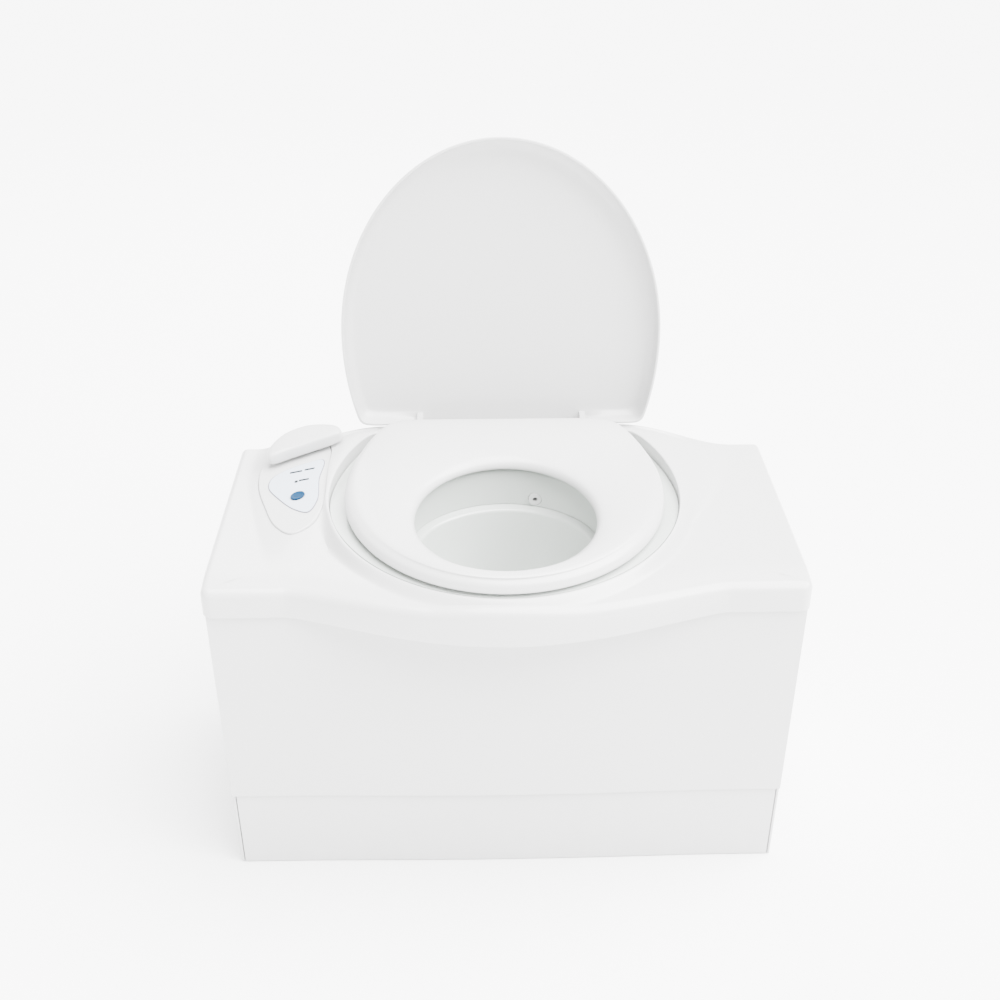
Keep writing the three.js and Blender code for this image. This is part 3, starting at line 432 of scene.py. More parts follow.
def dyed_button(name, tone):
    """Coloured plastic with a faint cloud in its dye."""
    graph = Graph(name)
    cloud = graph.noise(160.0, 3.0)
    return graph.finish(
        {"Specular IOR Level": 0.15},
        Base_Color=graph.blend(cloud, tuple(value * 0.85 for value in tone), tone),
        Roughness=0.4 + cloud * 0.1,
        Normal=graph.bump(graph.noise(1500.0, 2.0), 5e-6))


def circuit(name, tone):
    """Board with a brick pattern for its tracks."""
    graph = Graph(name)
    tracks = graph.node("ShaderNodeTexBrick", {}, {"Vector": graph.place, "Scale": 260.0}, "Fac")
    return graph.finish(
        {"Specular IOR Level": 0.5},
        Base_Color=graph.blend(tracks, tone, (0.03, 0.14, 0.06)),
        Roughness=0.35 + tracks * 0.1,
        Normal=graph.bump(tracks, 3e-5))


print("film, button and board ready, dashes:", len(DASHES))

# %% [markdown]
# Every slot of the record has one finish. CAD nodes take theirs here, and each new piece takes the
# finish of the node that it stands for.

# %% Finishes by slot
FINISH = {
    "white_moulding": white_moulding("white_moulding", (0.60, 0.60, 0.598), 0.30),
    # The bowl's white is darker and greener than the bench's white: painted shade for the inside of the deep bowl.
    "bowl_white": white_moulding("bowl_white", (0.50, 0.53, 0.505), 0.20, 3e-6, 0.6),
    "membrane_white": printed_film("membrane_white", (0.55, 0.60, 0.68)),
    "button_blue": dyed_button("button_blue", (0.0, 0.032, 0.085)),
    "grey_moulding": grained("grey_moulding", (0.22, 0.225, 0.23), 0.42, 800.0, 2e-5),
    "tank_plastic": blown_tank("tank_plastic", (0.45, 0.48, 0.48)),
    "dark_plastic": grained("dark_plastic", (0.012, 0.013, 0.015), 0.42, 700.0, 2.5e-5, 0.012),
    "rubber": grained("rubber", (0.005, 0.005, 0.006), 0.6, 1200.0, 2e-5, 0.008),
    "steel": turned_steel("steel", (0.42, 0.43, 0.45)),
    "circuit_green": circuit("circuit_green", (0.006, 0.05, 0.02)),
}
for part in frame["record"]["subparts"]:
    cad_node = frame["nodes"][part["node"]]
    cad_node.data.materials.clear()
    cad_node.data.materials.append(FINISH[part["material_slot"]])
print("finishes:", len(FINISH))

# %% [markdown]
# The bench top is one large moulding. Its deck is level at the sides and lifts into a sloping rim
# round the seat. The front swells outwards in a wave, and the skirt below follows it.

# %% Shape of the deck


def rim_z(y):
    """The rim is a plane that rises to the rear."""
    return RIM_Z + RIM_SLOPE * (y - RIM_Y)


def swell(x):
    """The wave across the front: (1 − (x/half)²) to the power 1.4, and 0 beyond its ends."""
    return np.maximum(0, 1 - (x / BULGE_HALF) ** 2) ** 1.4


def well_depth(y):
    """The recess is shallow at the front, and deepens to 21 mm at the rear."""
    return 5.6 + 15.4 * smooth((y + 125) / 215)


def softest(a, b, blend):
    """The smaller of two lengths, with the corner between them blended away."""
    return -np.log(np.exp(-a / blend) + np.exp(-b / blend)) * blend


def oval(angle, grow, half, front, rear, cy, cut, blend):
    """Plan outline: half an ellipse to the front, and half of another to the rear, cut off straight.
    Grow moves the outline outwards."""
    sine = np.sin(angle)
    ry = np.where(sine > 0, rear, front)
    reach = 1 / np.hypot(np.cos(angle) / half, sine / ry) + grow
    straight = np.where(sine > 0.02, (cut + grow - cy) / np.maximum(sine, 0.02), 1e4)
    kept = np.where(sine > 0.02, softest(reach, np.minimum(straight, 900), blend), reach)
    return np.stack([kept * np.cos(angle), cy + kept * sine], -1)


def well_at(angle, grow):
    return oval(angle, grow, WELL["x"], WELL["front"], WELL["rear"], WELL["cy"], WELL["cut"], 10)


def deck_z(x, y):
    """Height of the deck: a level base that dips to the front, plus a crown that fades with distance
    from the recess. Round the control pod it rises to the pod's plane."""
    edge = FRONT_Y - BULGE * swell(x)
    base = DECK_Z - 5 * (1 - smooth((y - edge) / 45))
    ry = np.where(y > WELL["cy"], WELL["rear"], WELL["front"])
    outside = (np.hypot(x / WELL["x"], (y - WELL["cy"]) / ry) - 1) * 210
    width = np.clip(38 + 0.55 * y, 16, 140)
    lift = 1 - smooth(np.maximum(0, outside) / width)
    z = base + (rim_z(y) - base) * (1 - 0.16 * smooth((y - 140) / 30)) * lift
    outside_pod = (np.hypot((x + 268) / 44, (y - 44) / 112) - 1) * 44
    pod_plane = POD_BASE[2] + POD_SLOPE[0] * (x - POD_BASE[0]) + POD_SLOPE[1] * y
    return z + np.maximum(0, pod_plane - 1 - z) * (1 - smooth(outside_pod / 34))


def bench_outline(count):
    """Rectangle with round corners, tighter at the back, walked at an even pace, and its inward
    direction at each point. Corners and straights are counted from the right, rear corner."""
    radii = np.array([8.0, 8.0, 13.0, 13.0])
    half = np.array([HALF_WIDTH, (BACK_Y - FRONT_Y) / 2])
    sides = 2 * half[[1, 0, 1, 0]] - radii - np.roll(radii, 1)
    legs = np.column_stack([sides, radii * math.pi / 2]).ravel()
    ends = np.cumsum(legs)
    walked = np.linspace(0, ends[-1], count, endpoint=False)
    leg = np.searchsorted(ends, walked, side="right")
    along = walked - (ends - legs)[leg]
    quarter, arc = leg // 2, leg % 2
    radius = radii[quarter][:, None]
    turn = np.where(arc, along / radius[:, 0], 0) + quarter * math.pi / 2
    out = np.stack([np.cos(turn), np.sin(turn)], -1)
    corner = np.array([[1, 1], [-1, 1], [-1, -1], [1, -1]])[quarter] * (half - radius)
    forward = np.array([[0, 1], [-1, 0], [0, -1], [1, 0]])[quarter]
    short = np.where(arc, 0, legs[leg] - along)[:, None]
    return corner - forward * short + out * radius + [0, (BACK_Y + FRONT_Y) / 2], -out


EDGE, INWARD = bench_outline(760)
EDGE_ANGLE = np.arctan2(EDGE[:, 1] - WELL["cy"], EDGE[:, 0])
print("deck outline points:", len(EDGE))

# %% [markdown]
# The bench top's section runs once round: from the bowl's ledge to the skirt, and back underneath.
# So the moulding has an even wall and no open edge.

# %% Bench top


def at(plan, z):
    """Station from plan points and heights."""
    return np.column_stack([plan, np.broadcast_to(z, len(plan))])


def bench_top():
    """Section from the bowl's ledge up the recess, over the rim, down the deck, round the edge, down
    the skirt, and back underneath a wall's thickness lower."""
    facing = INWARD[:, 1]
    front = np.maximum(facing, 0) ** 2
    wave = swell(EDGE[:, 0]) * front
    edge = EDGE - np.column_stack([0 * wave, BULGE * wave])
    radius = 8 * INWARD[:, 0] ** 2 + 15 * front + 6 * np.minimum(facing, 0) ** 2
    hem = SKIRT_Z - BULGE_DIP * wave
    web = WALL + 0.4 + (BULGE - 4.5) * wave

    def inset(distance, z):
        return at(edge + INWARD * np.reshape(distance, (-1, 1)), z)

    def well(grow, below, floor):
        plan = well_at(EDGE_ANGLE, grow)
        depth = well_depth(plan[:, 1]) if floor else 0
        return at(plan, rim_z(plan[:, 1]) - depth - below)

    rim = well_at(EDGE_ANGLE, 3)
    shoulder = edge + INWARD * radius[:, None]
    edge_z = deck_z(*shoulder.T)

    def across(t, drop):
        plan = rim * (1 - t) + shoulder * t
        return at(plan, deck_z(*plan.T) - drop)

    deck = [across(t, 0) for t in np.linspace(0.01, 1, 46)]
    turn = np.radians(np.linspace(12, 90, 8))
    roll = [inset(radius * (1 - math.sin(a)), edge_z - radius * (1 - math.cos(a))) for a in turn]
    lower = [inset(np.full(len(edge), d), z) for d, z in ((0, hem + 1), (0.8, hem))]
    under = [inset(web, hem), inset(web, hem + WALL), inset(np.full(len(edge), WALL), hem + WALL)]
    back = [inset(np.full(len(edge), WALL), edge_z - radius)]
    lining = [across(t, WALL) for t in np.linspace(1, 0, 16)]
    lip = rounded([well(-8, 0, True), well(0, 0, True), well(0, 0.6, False), across(0.0, 0)], 2.2, 5)
    ledge = [well(3, WALL, True), well(-8, WALL, True)]
    stations = [*lip, *deck, *roll, *lower, *under, *back, *lining, *ledge]
    return skin("bench_top_moulding", stations, closed=True)


bench = bench_top()
print("bench top vertices:", len(bench.data.vertices))

# %% [markdown]
# The control pod fits a hole in the deck, on a plane that leans towards the user. Its outline is a
# smooth closed curve through a few chosen points, as a designer would draw it.

# %% Outlines on the pod's plane
POD_POINTS = [
    (-223, -22), (-236, -58), (-256, -69), (-278, -46), (-297, 2), (-312, 56), (-313, 104),
    (-298, 142), (-266, 157), (-238, 150), (-224, 118), (-222.5, 50),
]
FILM_POINTS = [
    (-229, 84), (-232, 45), (-230, -8), (-239, -30), (-256, -20), (-281, 13), (-298, 46),
    (-295, 68), (-275, 83), (-250, 90), (-233, 92),
]
GRIP_POINTS = [
    (-303, 99), (-299, 90), (-275, 97), (-244, 106), (-216, 115), (-206, 122), (-209, 138),
    (-230, 152), (-256, 157), (-283, 146), (-299, 122),
]


def closed_curve(points, per_leg=18):
    """Centripetal Catmull-Rom curve through a closed ring of points: on each leg, straight blends of
    the four nearest points are blended three times, with knots at the root of each distance."""
    p1 = np.array(points, float)[:, None]
    p0, p2, p3 = np.roll(p1, 1, 0), np.roll(p1, -1, 0), np.roll(p1, -2, 0)

    def root(a, b):
        return np.sqrt(np.linalg.norm(b - a, axis=2, keepdims=True))

    t1 = root(p0, p1)
    t2 = t1 + root(p1, p2)
    t3 = t2 + root(p2, p3)
    t = t1 + (t2 - t1) * np.linspace(0, 1, per_leg, endpoint=False)[None, :, None]

    def mix(a, b, ta, tb):
        return (a * (tb - t) + b * (t - ta)) / (tb - ta)

    a, b, c = mix(p0, p1, 0 * t1, t1), mix(p1, p2, t1, t2), mix(p2, p3, t2, t3)
    left, right = mix(a, b, 0 * t1, t2), mix(b, c, t1, t3)
    return mix(left, right, t1, t2).reshape(-1, 2)


def grown(outline, distance):
    """The outline scaled about its middle, so that it grows by a distance on each side."""
    low, high = outline.min(0), outline.max(0)
    return (outline - (low + high) / 2) * (1 + 2 * distance / (high - low)) + (low + high) / 2


def on_pod(plan, height):
    """Station on the pod's tilted plane, which passes through the handle's foot."""
    return at(plan, HUB[2] + (plan - HUB[:2]) @ POD_SLOPE + height)


def plate(name, outline, steps, cut, round_steps=4):
    """Solid from (growth, height) pairs of an outline on the tilted plane, closed at both middles."""
    middle = np.broadcast_to((outline.min(0) + outline.max(0)) / 2, outline.shape)
    stations = [on_pod(grown(outline, grow), height) for grow, height in steps]
    first, last = on_pod(middle, steps[0][1]), on_pod(middle, steps[-1][1])
    return skin(name, rounded([first, *stations, last], cut, round_steps))


POD_OUTLINE = closed_curve(POD_POINTS)
FILM_OUTLINE = closed_curve(FILM_POINTS)
pod_cutter = plate("cutter", grown(POD_OUTLINE, 0.5), [(0, -30), (0, 12)], SHARP, 1)


def box_stations(low, high):
    """Stations of a plain box tool for a cut: a four-sided skin between two far corners."""
    (x0, y0, z0), (x1, y1, z1) = low, high
    plan = np.array([(x0, y0), (x1, y0), (x1, y1), (x0, y1)], float)
    middle = np.broadcast_to(plan.mean(0), plan.shape)
    return [at(middle, z0), at(plan, z0), at(plan, z1), at(middle, z1)]


hinge_bay = skin("cutter", box_stations((-128, 138, 440), (128, 165.5, 480)))
carve(bench, [pod_cutter, hinge_bay])
stand_for(bench, "bench_top")

# %% [markdown]
# The bowl is two mouldings. The rim's flange lies on the ledge, and its collar rises under the seat.
# Inside, the wall drops to a narrow step, where the bowl begins and funnels down to the seal.

# %% Bowl
TURN = np.linspace(0, 2 * math.pi, 240, endpoint=False)


def ellipse(rx, ry, cy, z):
    """Station round an ellipse on the middle line."""
    return at(np.column_stack([rx * np.cos(TURN), cy + ry * np.sin(TURN)]), z)


def collar(grow, drop, floor=False):
    """Station that follows the mouth's outline, a drop below the rim or above the recess's floor."""
    plan = np.column_stack([(124 + grow) * np.cos(TURN), MOUTH_Y + (118 + grow) * np.sin(TURN)])
    depth = well_depth(plan[:, 1]) - 0.4 if floor else 0
    return at(plan, rim_z(plan[:, 1]) - depth - drop)


def bowl_rim():
    """Section from the flange's edge over the raised collar and down the wall to the step, and back
    underneath."""
    edge = well_at(TURN, -1)
    lip = rim_z(edge[:, 1]) - well_depth(edge[:, 1]) + 0.4
    section = [
        at(edge, lip), at(edge, lip + 4), collar(13, -4, True), collar(8, 1.6), collar(3, 1.5),
        collar(0, 3.5), ellipse(118.4, 112.4, MOUTH_Y, 406.4), ellipse(122, 116, MOUTH_Y, 406.4),
        collar(4, 3, True), collar(9, 0, True),
    ]
    cuts = [0.6, 1.2, 5, 3, 2.4, 3.4, 0.5, 0.5, 2, 2]
    return skin("bowl_rim_moulding", rounded(section, cuts, 6, True), True)


def bowl():
    """Section from the step down the funnel to the spigot, and back up the outside, 4 mm away."""
    section = [
        ellipse(118, 112, MOUTH_Y, 406), ellipse(108, 102, MOUTH_Y, 403), ellipse(94, 88, -64, 350),
        ellipse(70, 68, -56, 296), ellipse(46, 46, OUTLET_Y, 262), ellipse(46, 46, OUTLET_Y, 240),
        ellipse(50, 50, OUTLET_Y, 240), ellipse(50, 50, OUTLET_Y, 262), ellipse(74, 72, -56, 293),
        ellipse(98, 92, -64, 348), ellipse(113, 107, MOUTH_Y, 399), ellipse(122, 116, MOUTH_Y, 406),
    ]
    cuts = [1, 3.4, 26, 20, 14, 0.8, 0.8, 14, 20, 26, 3, 1]
    return skin("bowl_moulding", rounded(section, cuts, 6, True), True)


def pipe_y(name, node, radius):
    """Round tool along Y on a node's middle line."""
    low, high = box_mm(node)
    x, z = (low[0] + high[0]) / 2, (low[2] + high[2]) / 2
    circle = np.column_stack([x + radius * np.cos(TURN), z + radius * np.sin(TURN)])[:, [0, 1]]
    hub = np.broadcast_to([x, z], circle.shape)
    ends = [(hub, low[1] - 10), (circle, low[1] - 10), (circle, high[1] + 18), (hub, high[1] + 18)]
    return skin(name, [np.column_stack([c[:, 0], np.full(len(c), y), c[:, 1]]) for c, y in ends])


stand_for(carve(bowl_rim(), [pipe_y("cutter", "flush_nozzle", 8.4)]), "bowl_rim")
stand_for(bowl(), "bowl")

# %% [markdown]
# The seat is a ring. Its section swells to a soft crest and falls away to both edges, so a plain
# rounded polygon would look hard. Rounding each corner to the middle of its legs makes the section
# one unbroken curve.

# %% Seat


def seat():
    """Section of the ring as heights over the rim plane, from the outer edge to the opening. The rear
    edge rises a little, to hide the hinge."""
    turn = np.linspace(0, 2 * math.pi, 320, endpoint=False)

    def outer(shrink):
        return oval(turn, -shrink, 195.5, 197, 225, -10, 143, 9)

    def opening(widen):
        ry = np.where(np.sin(turn) > 0, 112.0, 106.0) + widen
        return np.column_stack([(108 + widen) * np.cos(turn), -70 + ry * np.sin(turn)])

    def lifted(plan, height):
        kick = 4 * smooth((plan[:, 1] - 60) / 70) if height > 9 else 0
        return at(plan, rim_z(plan[:, 1]) + height + kick)

    edge, hole = outer(0), opening(0)
    crest = ((0.22, 20.6), (0.45, 22.0), (0.7, 20.2))
    between = [lifted(edge * (1 - t) + hole * t, height) for t, height in crest]
    section = [
        lifted(outer(2.5), 3.2), lifted(edge, 4.6), lifted(outer(0.2), 9.0), lifted(outer(2.4), 14.5),
        lifted(outer(9), 18.6), *between, lifted(opening(7), 16.4), lifted(opening(1.2), 11),
        lifted(hole, 5.4), lifted(opening(3), 3.2),
    ]
    return skin("seat_ring", rounded(section, SOFT, 5, closed=True), closed=True)


def both_sides(x0, x1):
    """A span across X and its mirror image."""
    return (-x1, -x0), (x0, x1)


def across_x(ring, hub, x0, x1):
    """Stations of a solid carried across X from one outline, closed at a hub point."""
    hub = np.broadcast_to(hub, ring.shape)
    return [line + [x, 0, 0] for line, x in ((hub, x0), (ring, x0), (ring, x1), (hub, x1))]


def hinge_eye(x0, x1, low, high):
    """Ear that joins a moulding to its hinge pin: a round eye and a flat web, as one outline
    carried across X. The outline is the eye's circle with its far half pulled out to the web."""
    turn = np.linspace(0, 2 * math.pi, 48, endpoint=False)
    y = HINGE[1] + EYE_R * np.cos(turn)
    z = HINGE[2] + EYE_R * np.sin(turn)
    pulled = np.cos(turn) < -0.35
    y = np.where(pulled, low[0], y)
    z = np.where(pulled, np.clip(z, low[1], high), z)
    ring = np.column_stack([np.zeros_like(y), y, z])
    return skin("ear", across_x(ring, ring.mean(0), x0, x1))


def pin_hole():
    """Round tool along the hinge axis, a hair wider than the pin."""
    turn = np.linspace(0, 2 * math.pi, 32, endpoint=False)
    y = HINGE[1] + PIN_HOLE_R * np.cos(turn)
    z = HINGE[2] + PIN_HOLE_R * np.sin(turn)
    ring = np.column_stack([0 * turn, y, z])
    return skin("cutter", across_x(ring, [0, HINGE[1], HINGE[2]], -130, 130))


seat_piece = seat()
web_low, web_top = (120, HINGE[2] - 3), HINGE[2] + 4
ears = [hinge_eye(x0, x1, web_low, web_top) for x0, x1 in both_sides(*SEAT_EAR)]
carve(seat_piece, ears, "UNION")
carve(seat_piece, [pin_hole()])
stand_for(seat_piece, "seat")

# %% [markdown]
# The lid is a shallow dish. It is worked out lying flat and is then leaned back about the hinge, so
# that a shape and a lean can be changed apart.

# %% Lid
LID = {"half": 207.0, "middle": 118.0, "tip": 249.9, "tail": 277.0, "start": -3.0, "depth": 26.0}


def leaned(stations):
    """Turns (across, along, outwards) about the hinge to the open lid's lean."""
    grid = np.asarray(stations, float)
    along, out = grid[..., 1], grid[..., 2]
    y = HINGE[1] + along * math.sin(LID_LEAN) + out * math.cos(LID_LEAN)
    z = HINGE[2] + along * math.cos(LID_LEAN) - out * math.sin(LID_LEAN)
    return np.stack([grid[..., 0], y, z], -1)


def lid():
    """Section from the crown over the edge's lip and back along the inside."""
    turn = np.linspace(0, 2 * math.pi, 320, endpoint=False)
    sine = np.sin(turn)

    def edge(shrink):
        length = np.where(sine > 0, LID["tip"], LID["tail"])
        reach = 1 / np.hypot(np.cos(turn) / LID["half"], sine / length) - shrink
        straight = (LID["start"] + shrink - LID["middle"]) / np.minimum(sine, -0.02)
        kept = np.where(sine < -0.02, softest(reach, np.minimum(straight, 900), 6), reach)
        return np.column_stack([kept * np.cos(turn), LID["middle"] + kept * sine])

    def part(t, out):
        plan = edge(16)
        middle = np.array([0, LID["middle"]])
        return at(middle + (plan - middle) * t, out)

    top = LID["depth"]
    cropped = smooth((-0.6 - sine) / 0.16)

    def lip(out, highest):
        return out + (highest - out) * cropped

    outside = [
        part(0, top + 3), part(0.5, top + 2.5), part(1, top), at(edge(9), lip(top - 3, 25.8)),
        at(edge(2.5), lip(top - 10, 25.4)), at(edge(0), lip(3.6, 24.4)), at(edge(0.4), lip(0.2, 22.8)),
        at(edge(3.2), lip(0.2, 22.4)), at(edge(3.8), lip(3.8, 22.4)),
    ]
    inside = [
        at(edge(5.5), lip(top - 12, 22.4)), at(edge(11), lip(top - 6.5, 22.5)), part(1, top - 3.4),
        part(0.5, top - 1.6), part(0, top - 1.2),
    ]
    cuts = [0, SOFT, SOFT, 8, 6, 2, 0.9, 0.9, 2, 6, 6, SOFT, SOFT, 0]
    return skin("lid_dish", leaned(rounded(outside + inside, cuts, 5)))


def lid_eye(x0, x1):
    """Ear of the lid: a round eye on the hinge with a web out to the dish."""
    turn = np.linspace(0, 2 * math.pi, 48, endpoint=False)
    ring = np.column_stack([0 * turn, EYE_R * np.cos(turn), EYE_R * np.sin(turn)])
    ring[:, 2] = np.where(np.sin(turn) > 0.3, 24, ring[:, 2])
    ring[:, 1] = np.where(np.sin(turn) > 0.3, np.clip(ring[:, 1] + 4, -1, 9), ring[:, 1])
    return skin("ear", leaned(across_x(ring, [0, 3, 6], x0, x1)))


lid_piece = lid()
notches = [box_stations((x0, -20, -8), (x1, 9.5, 9.5)) for x0, x1 in both_sides(95, 129)]
carve(lid_piece, [skin("cutter", leaned(notch)) for notch in notches])
carve(lid_piece, [lid_eye(x0, x1) for x0, x1 in both_sides(*LID_EAR)], "UNION")
carve(lid_piece, [pin_hole()])
stand_for(lid_piece, "lid")

# %% [markdown]
# The front panel and plinth are bowed sheets. Each is a thin outline in plan carried upwards, and
# its edges are rounded a little, so that they catch the light where the two meet.

# %% Front panel and plinth
FRONT_HALF = {"floor": 341.0, "top": 346.0, "height": 389.0}


def sheet(name, node, bow, thickness=3.0, cut=1.0):
    """Bowed upright sheet in a node's box. The front line and the back line share their ends, and a
    middle line closes the sheet below and above."""
    low, high = box_mm(node)
    across = np.linspace(-1, 1, 200)
    front_y = low[1] + bow

    def half_width(z):
        return FRONT_HALF["floor"] + (FRONT_HALF["top"] - FRONT_HALF["floor"]) * z / FRONT_HALF["height"]

    def line(z, inset, share):
        half = half_width(z) * high[0] / half_width(high[2]) - inset
        x = np.concatenate([across, across[::-1]]) * half
        back = np.repeat([inset, thickness - inset], 200) * share + (1 - share) * thickness / 2
        return np.column_stack([x, front_y - bow * swell(x) + back, np.full(400, z)])

    stations = [
        line(low[2], 0, 0), line(low[2], cut, 1), line(low[2] + cut, 0, 1), line(high[2] - cut, 0, 1),
        line(high[2], cut, 1), line(high[2], 0, 0),
    ]
    return skin(name, rounded(stations, 0.6, 3))


stand_for(sheet("front_sheet", "front_panel", 4.5), "front_panel")
stand_for(sheet("plinth_sheet", "plinth", 3.0), "plinth")

# %% [markdown]
# The pod, its film, the flush button and the handle are small, so their edges matter most: each
# edge gets its own radius.

# %% Control pod and film


def turned(name, place, direction, profile, cut=SHARP, steps=1):
    """Turned solid about a line, from (radius, distance along the line) pairs."""
    axis = np.asarray(direction, float) / np.linalg.norm(direction)
    side = np.cross(axis, [0, 1, 0.3])
    side /= np.linalg.norm(side)
    other = np.cross(axis, side)
    turn = np.linspace(0, 2 * math.pi, 72, endpoint=False)[:, None]
    circle = np.cos(turn) * side + np.sin(turn) * other
    stations = [np.asarray(place) + circle * radius + axis * along for radius, along in profile]
    return skin(name, rounded(stations, cut, steps))


def drill(place, direction, radius, low, high):
    """Round tool along a line, for a cut."""
    return turned("cutter", place, direction, [(0, low), (radius, low), (radius, high), (0, high)])


BUTTON = np.array([-256.5, 10.5, 0])
BUTTON[2] = on_pod(BUTTON[None, :2], 0)[0, 2]
pod_steps = [(-4, -3), (-4, -15), (0, -15), (0, 1), (-3, 1)]
pod = plate("pod_moulding", POD_OUTLINE, pod_steps, [0, 1, 0.6, 0.6, 2.2, 1, 0], 5)
carve(pod, [drill(HUB, HUB_AXIS, 9.4, -40, 12), drill(BUTTON, (0, 0, 1), 6, -12, 8)])
stand_for(pod, "control_pod")

film = plate("printed_film", FILM_OUTLINE, [(-0.3, 1.3), (0, 1.5), (0, 1.8), (-1.3, 2.2)], 0.3, 3)
carve(film, [drill(BUTTON, (0, 0, 1), 9.4, -12, 12)])
stand_for(film, "control_membrane")

# %% [markdown]
# The flush button is a cap on a stem. A shallow dish in the cap shows where a fingertip goes.

# %% Flush button


def flush_button():
    """Cap and stem as (radius, height) circles sheared on to the tilted plane, with a shallow dish in
    the cap for a fingertip."""
    turn = np.linspace(0, 2 * math.pi, 96, endpoint=False)
    circle = np.column_stack([np.cos(turn), np.sin(turn)])
    profile = [(0, -2.5), (5.4, -2.5), (5.4, 2.9), (9, 2.9), (9, 4.2), (7.4, 4.2), (5, 3.7), (0, 3.6)]
    stations = [on_pod(BUTTON[:2] + circle * r, h) for r, h in profile]
    return skin("blue_button", rounded(stations, [0, 0.6, 0.3, 0.3, 0.7, 0.8, 2, 0], 5))


stand_for(flush_button(), "flush_button")

# %% [markdown]
# The handle's grip is drawn flat, and is then turned on to the axis that it swings about.

# %% Valve handle


def valve_handle():
    """Grip: a closed outline that fills out and draws in with height, square to the handle's axis.
    The neck below it is turned."""
    outline = closed_curve([(x - HUB[0], y - HUB[1]) for x, y in GRIP_POINTS])
    middle = np.broadcast_to((outline.min(0) + outline.max(0)) / 2, outline.shape)
    steps = [(-5, 6), (-1.2, 8), (0, 11.5), (0, 16.5), (-1.6, 20.5), (-6, 22.6)]
    flat = [at(middle, 6), *[at(grown(outline, g), z) for g, z in steps], at(middle, 23)]
    grid = rounded(flat, [0, 2, 3, 4, 4, 4, 4, 0], 5)
    up = HUB_AXIS / np.linalg.norm(HUB_AXIS)
    turn = Vector((0, 0, 1)).rotation_difference(Vector(up)).to_matrix()
    return skin("handle_grip", grid @ np.array(turn).T + HUB)


grip = valve_handle()
neck = turned("neck", HUB, HUB_AXIS, [(0, 2), (10, 2), (10, 12), (0, 12)], 0.8, 3)
carve(grip, [neck], "UNION")
carve(grip, [drill(HUB, HUB_AXIS, 5.9, -5, 15)])
stand_for(grip, "valve_handle")

# %% [markdown]
# At the rear, the filler cap and the cassette's pouring spout are round. The cap is turned about Y
# and has a bar to grip. The spout is a tube whose path rises from the swivel and runs level.

# %% Filler cap, spout, spout cap and vent button
FILL_LOW, FILL_HIGH = box_mm("fill_cap")
FILL = np.array([(FILL_LOW[0] + FILL_HIGH[0]) / 2, 0, (FILL_LOW[2] + FILL_HIGH[2]) / 2])
plug_y, bar_y = FILL_LOW[1], FILL_HIGH[1]
cap_profile = [
    (0, plug_y), (18, plug_y), (18, plug_y + 10), (27, plug_y + 10), (27, bar_y - 8),
    (24, bar_y - 7.4), (0, bar_y - 7.4),
]
fill_cap = turned("filler_cap", FILL, (0, 1, 0), cap_profile, [0, 1, 0.5, 1.4, 1.6, 2, 0], 5)


def grip_bar():
    """Rounded bar across the cap: a long outline drawn in slightly towards the hand."""
    turn = np.linspace(0, 2 * math.pi, 96, endpoint=False)
    x, z = np.cos(turn), np.sin(turn)
    outline = np.column_stack([np.sign(x) * np.abs(x) ** 0.35 * 18, np.sign(z) * np.abs(z) ** 0.5 * 3])
    hub = 0 * outline
    steps = [(hub, bar_y - 10), (outline, bar_y - 10), (outline * 0.96, bar_y), (hub, bar_y)]
    stations = [np.column_stack([FILL[0] + o[:, 0], np.full(96, y), FILL[2] + o[:, 1]]) for o, y in steps]
    return skin("bar", rounded(stations, [0, 1, 1.6, 0], 4))


carve(fill_cap, [grip_bar()], "UNION")
stand_for(fill_cap, "fill_cap")


SPOUT_R = 15
BORE_R = 11.5
FLANGE_R = 18


def spout():
    """Tube along a rising and then level path in one upright plane, with the bore joined to the
    outside at both ends."""
    low, high = box_mm("pour_spout")
    pivot = np.array(JOINTS["spout_swivel"]["pos_m"]) / MM
    mid_z = high[2] - SPOUT_R
    bend = np.radians(np.linspace(0, 90, 14))
    reach = 26.0
    rise = [(pivot[0], z) for z in np.linspace(low[2] + 1.0, mid_z - reach, 4)]
    arc = [(pivot[0] - reach * (1 - math.cos(a)), mid_z - reach * (1 - math.sin(a))) for a in bend[1:]]
    level = [(x, mid_z) for x in np.linspace(pivot[0] - reach, low[0] + 0.2, 6)[1:]]
    path = np.array(rise + arc + level)
    tangent = np.gradient(path, axis=0)
    tangent /= np.linalg.norm(tangent, axis=1, keepdims=True)
    normal = np.column_stack([-tangent[:, 1], tangent[:, 0]])
    turn = np.linspace(0, 2 * math.pi, 56, endpoint=False)

    def ring(index, radius):
        x, z = path[index][:, None] + normal[index][:, None] * radius * np.cos(turn)
        return np.column_stack([x, pivot[1] + radius * np.sin(turn), z])

    order = range(len(path))
    outside = [ring(i, SPOUT_R) for i in order]
    bore = [ring(i, BORE_R) for i in reversed(order)]
    return skin("spout_tube", outside + bore, closed=True)


spout_piece = spout()
foot = np.array(JOINTS["spout_swivel"]["pos_m"]) / MM
foot[2] = box_mm("pour_spout")[0][2]
flange = [(BORE_R, 0), (FLANGE_R, 0), (FLANGE_R, 6), (BORE_R, 6), (BORE_R, 0)]
carve(spout_piece, [turned("flange", foot, (0, 0, 1), flange)], "UNION")
stand_for(spout_piece, "pour_spout")

cap_low, cap_high = box_mm("spout_cap")
cap_centre = np.array([cap_low[0], (cap_low[1] + cap_high[1]) / 2, (cap_low[2] + cap_high[2]) / 2])
cap_steps = [(0, 9.6), (15.4, 9.6), (15.4, 18), (18, 18), (18, 0), (0, 0)]
cap_cuts = [0, 0.6, 0.5, 0.8, 2.4, 0]
spout_cap = turned("spout_screw_cap", cap_centre, (1, 0, 0), cap_steps, cap_cuts, 5)
stand_for(spout_cap, "spout_cap")

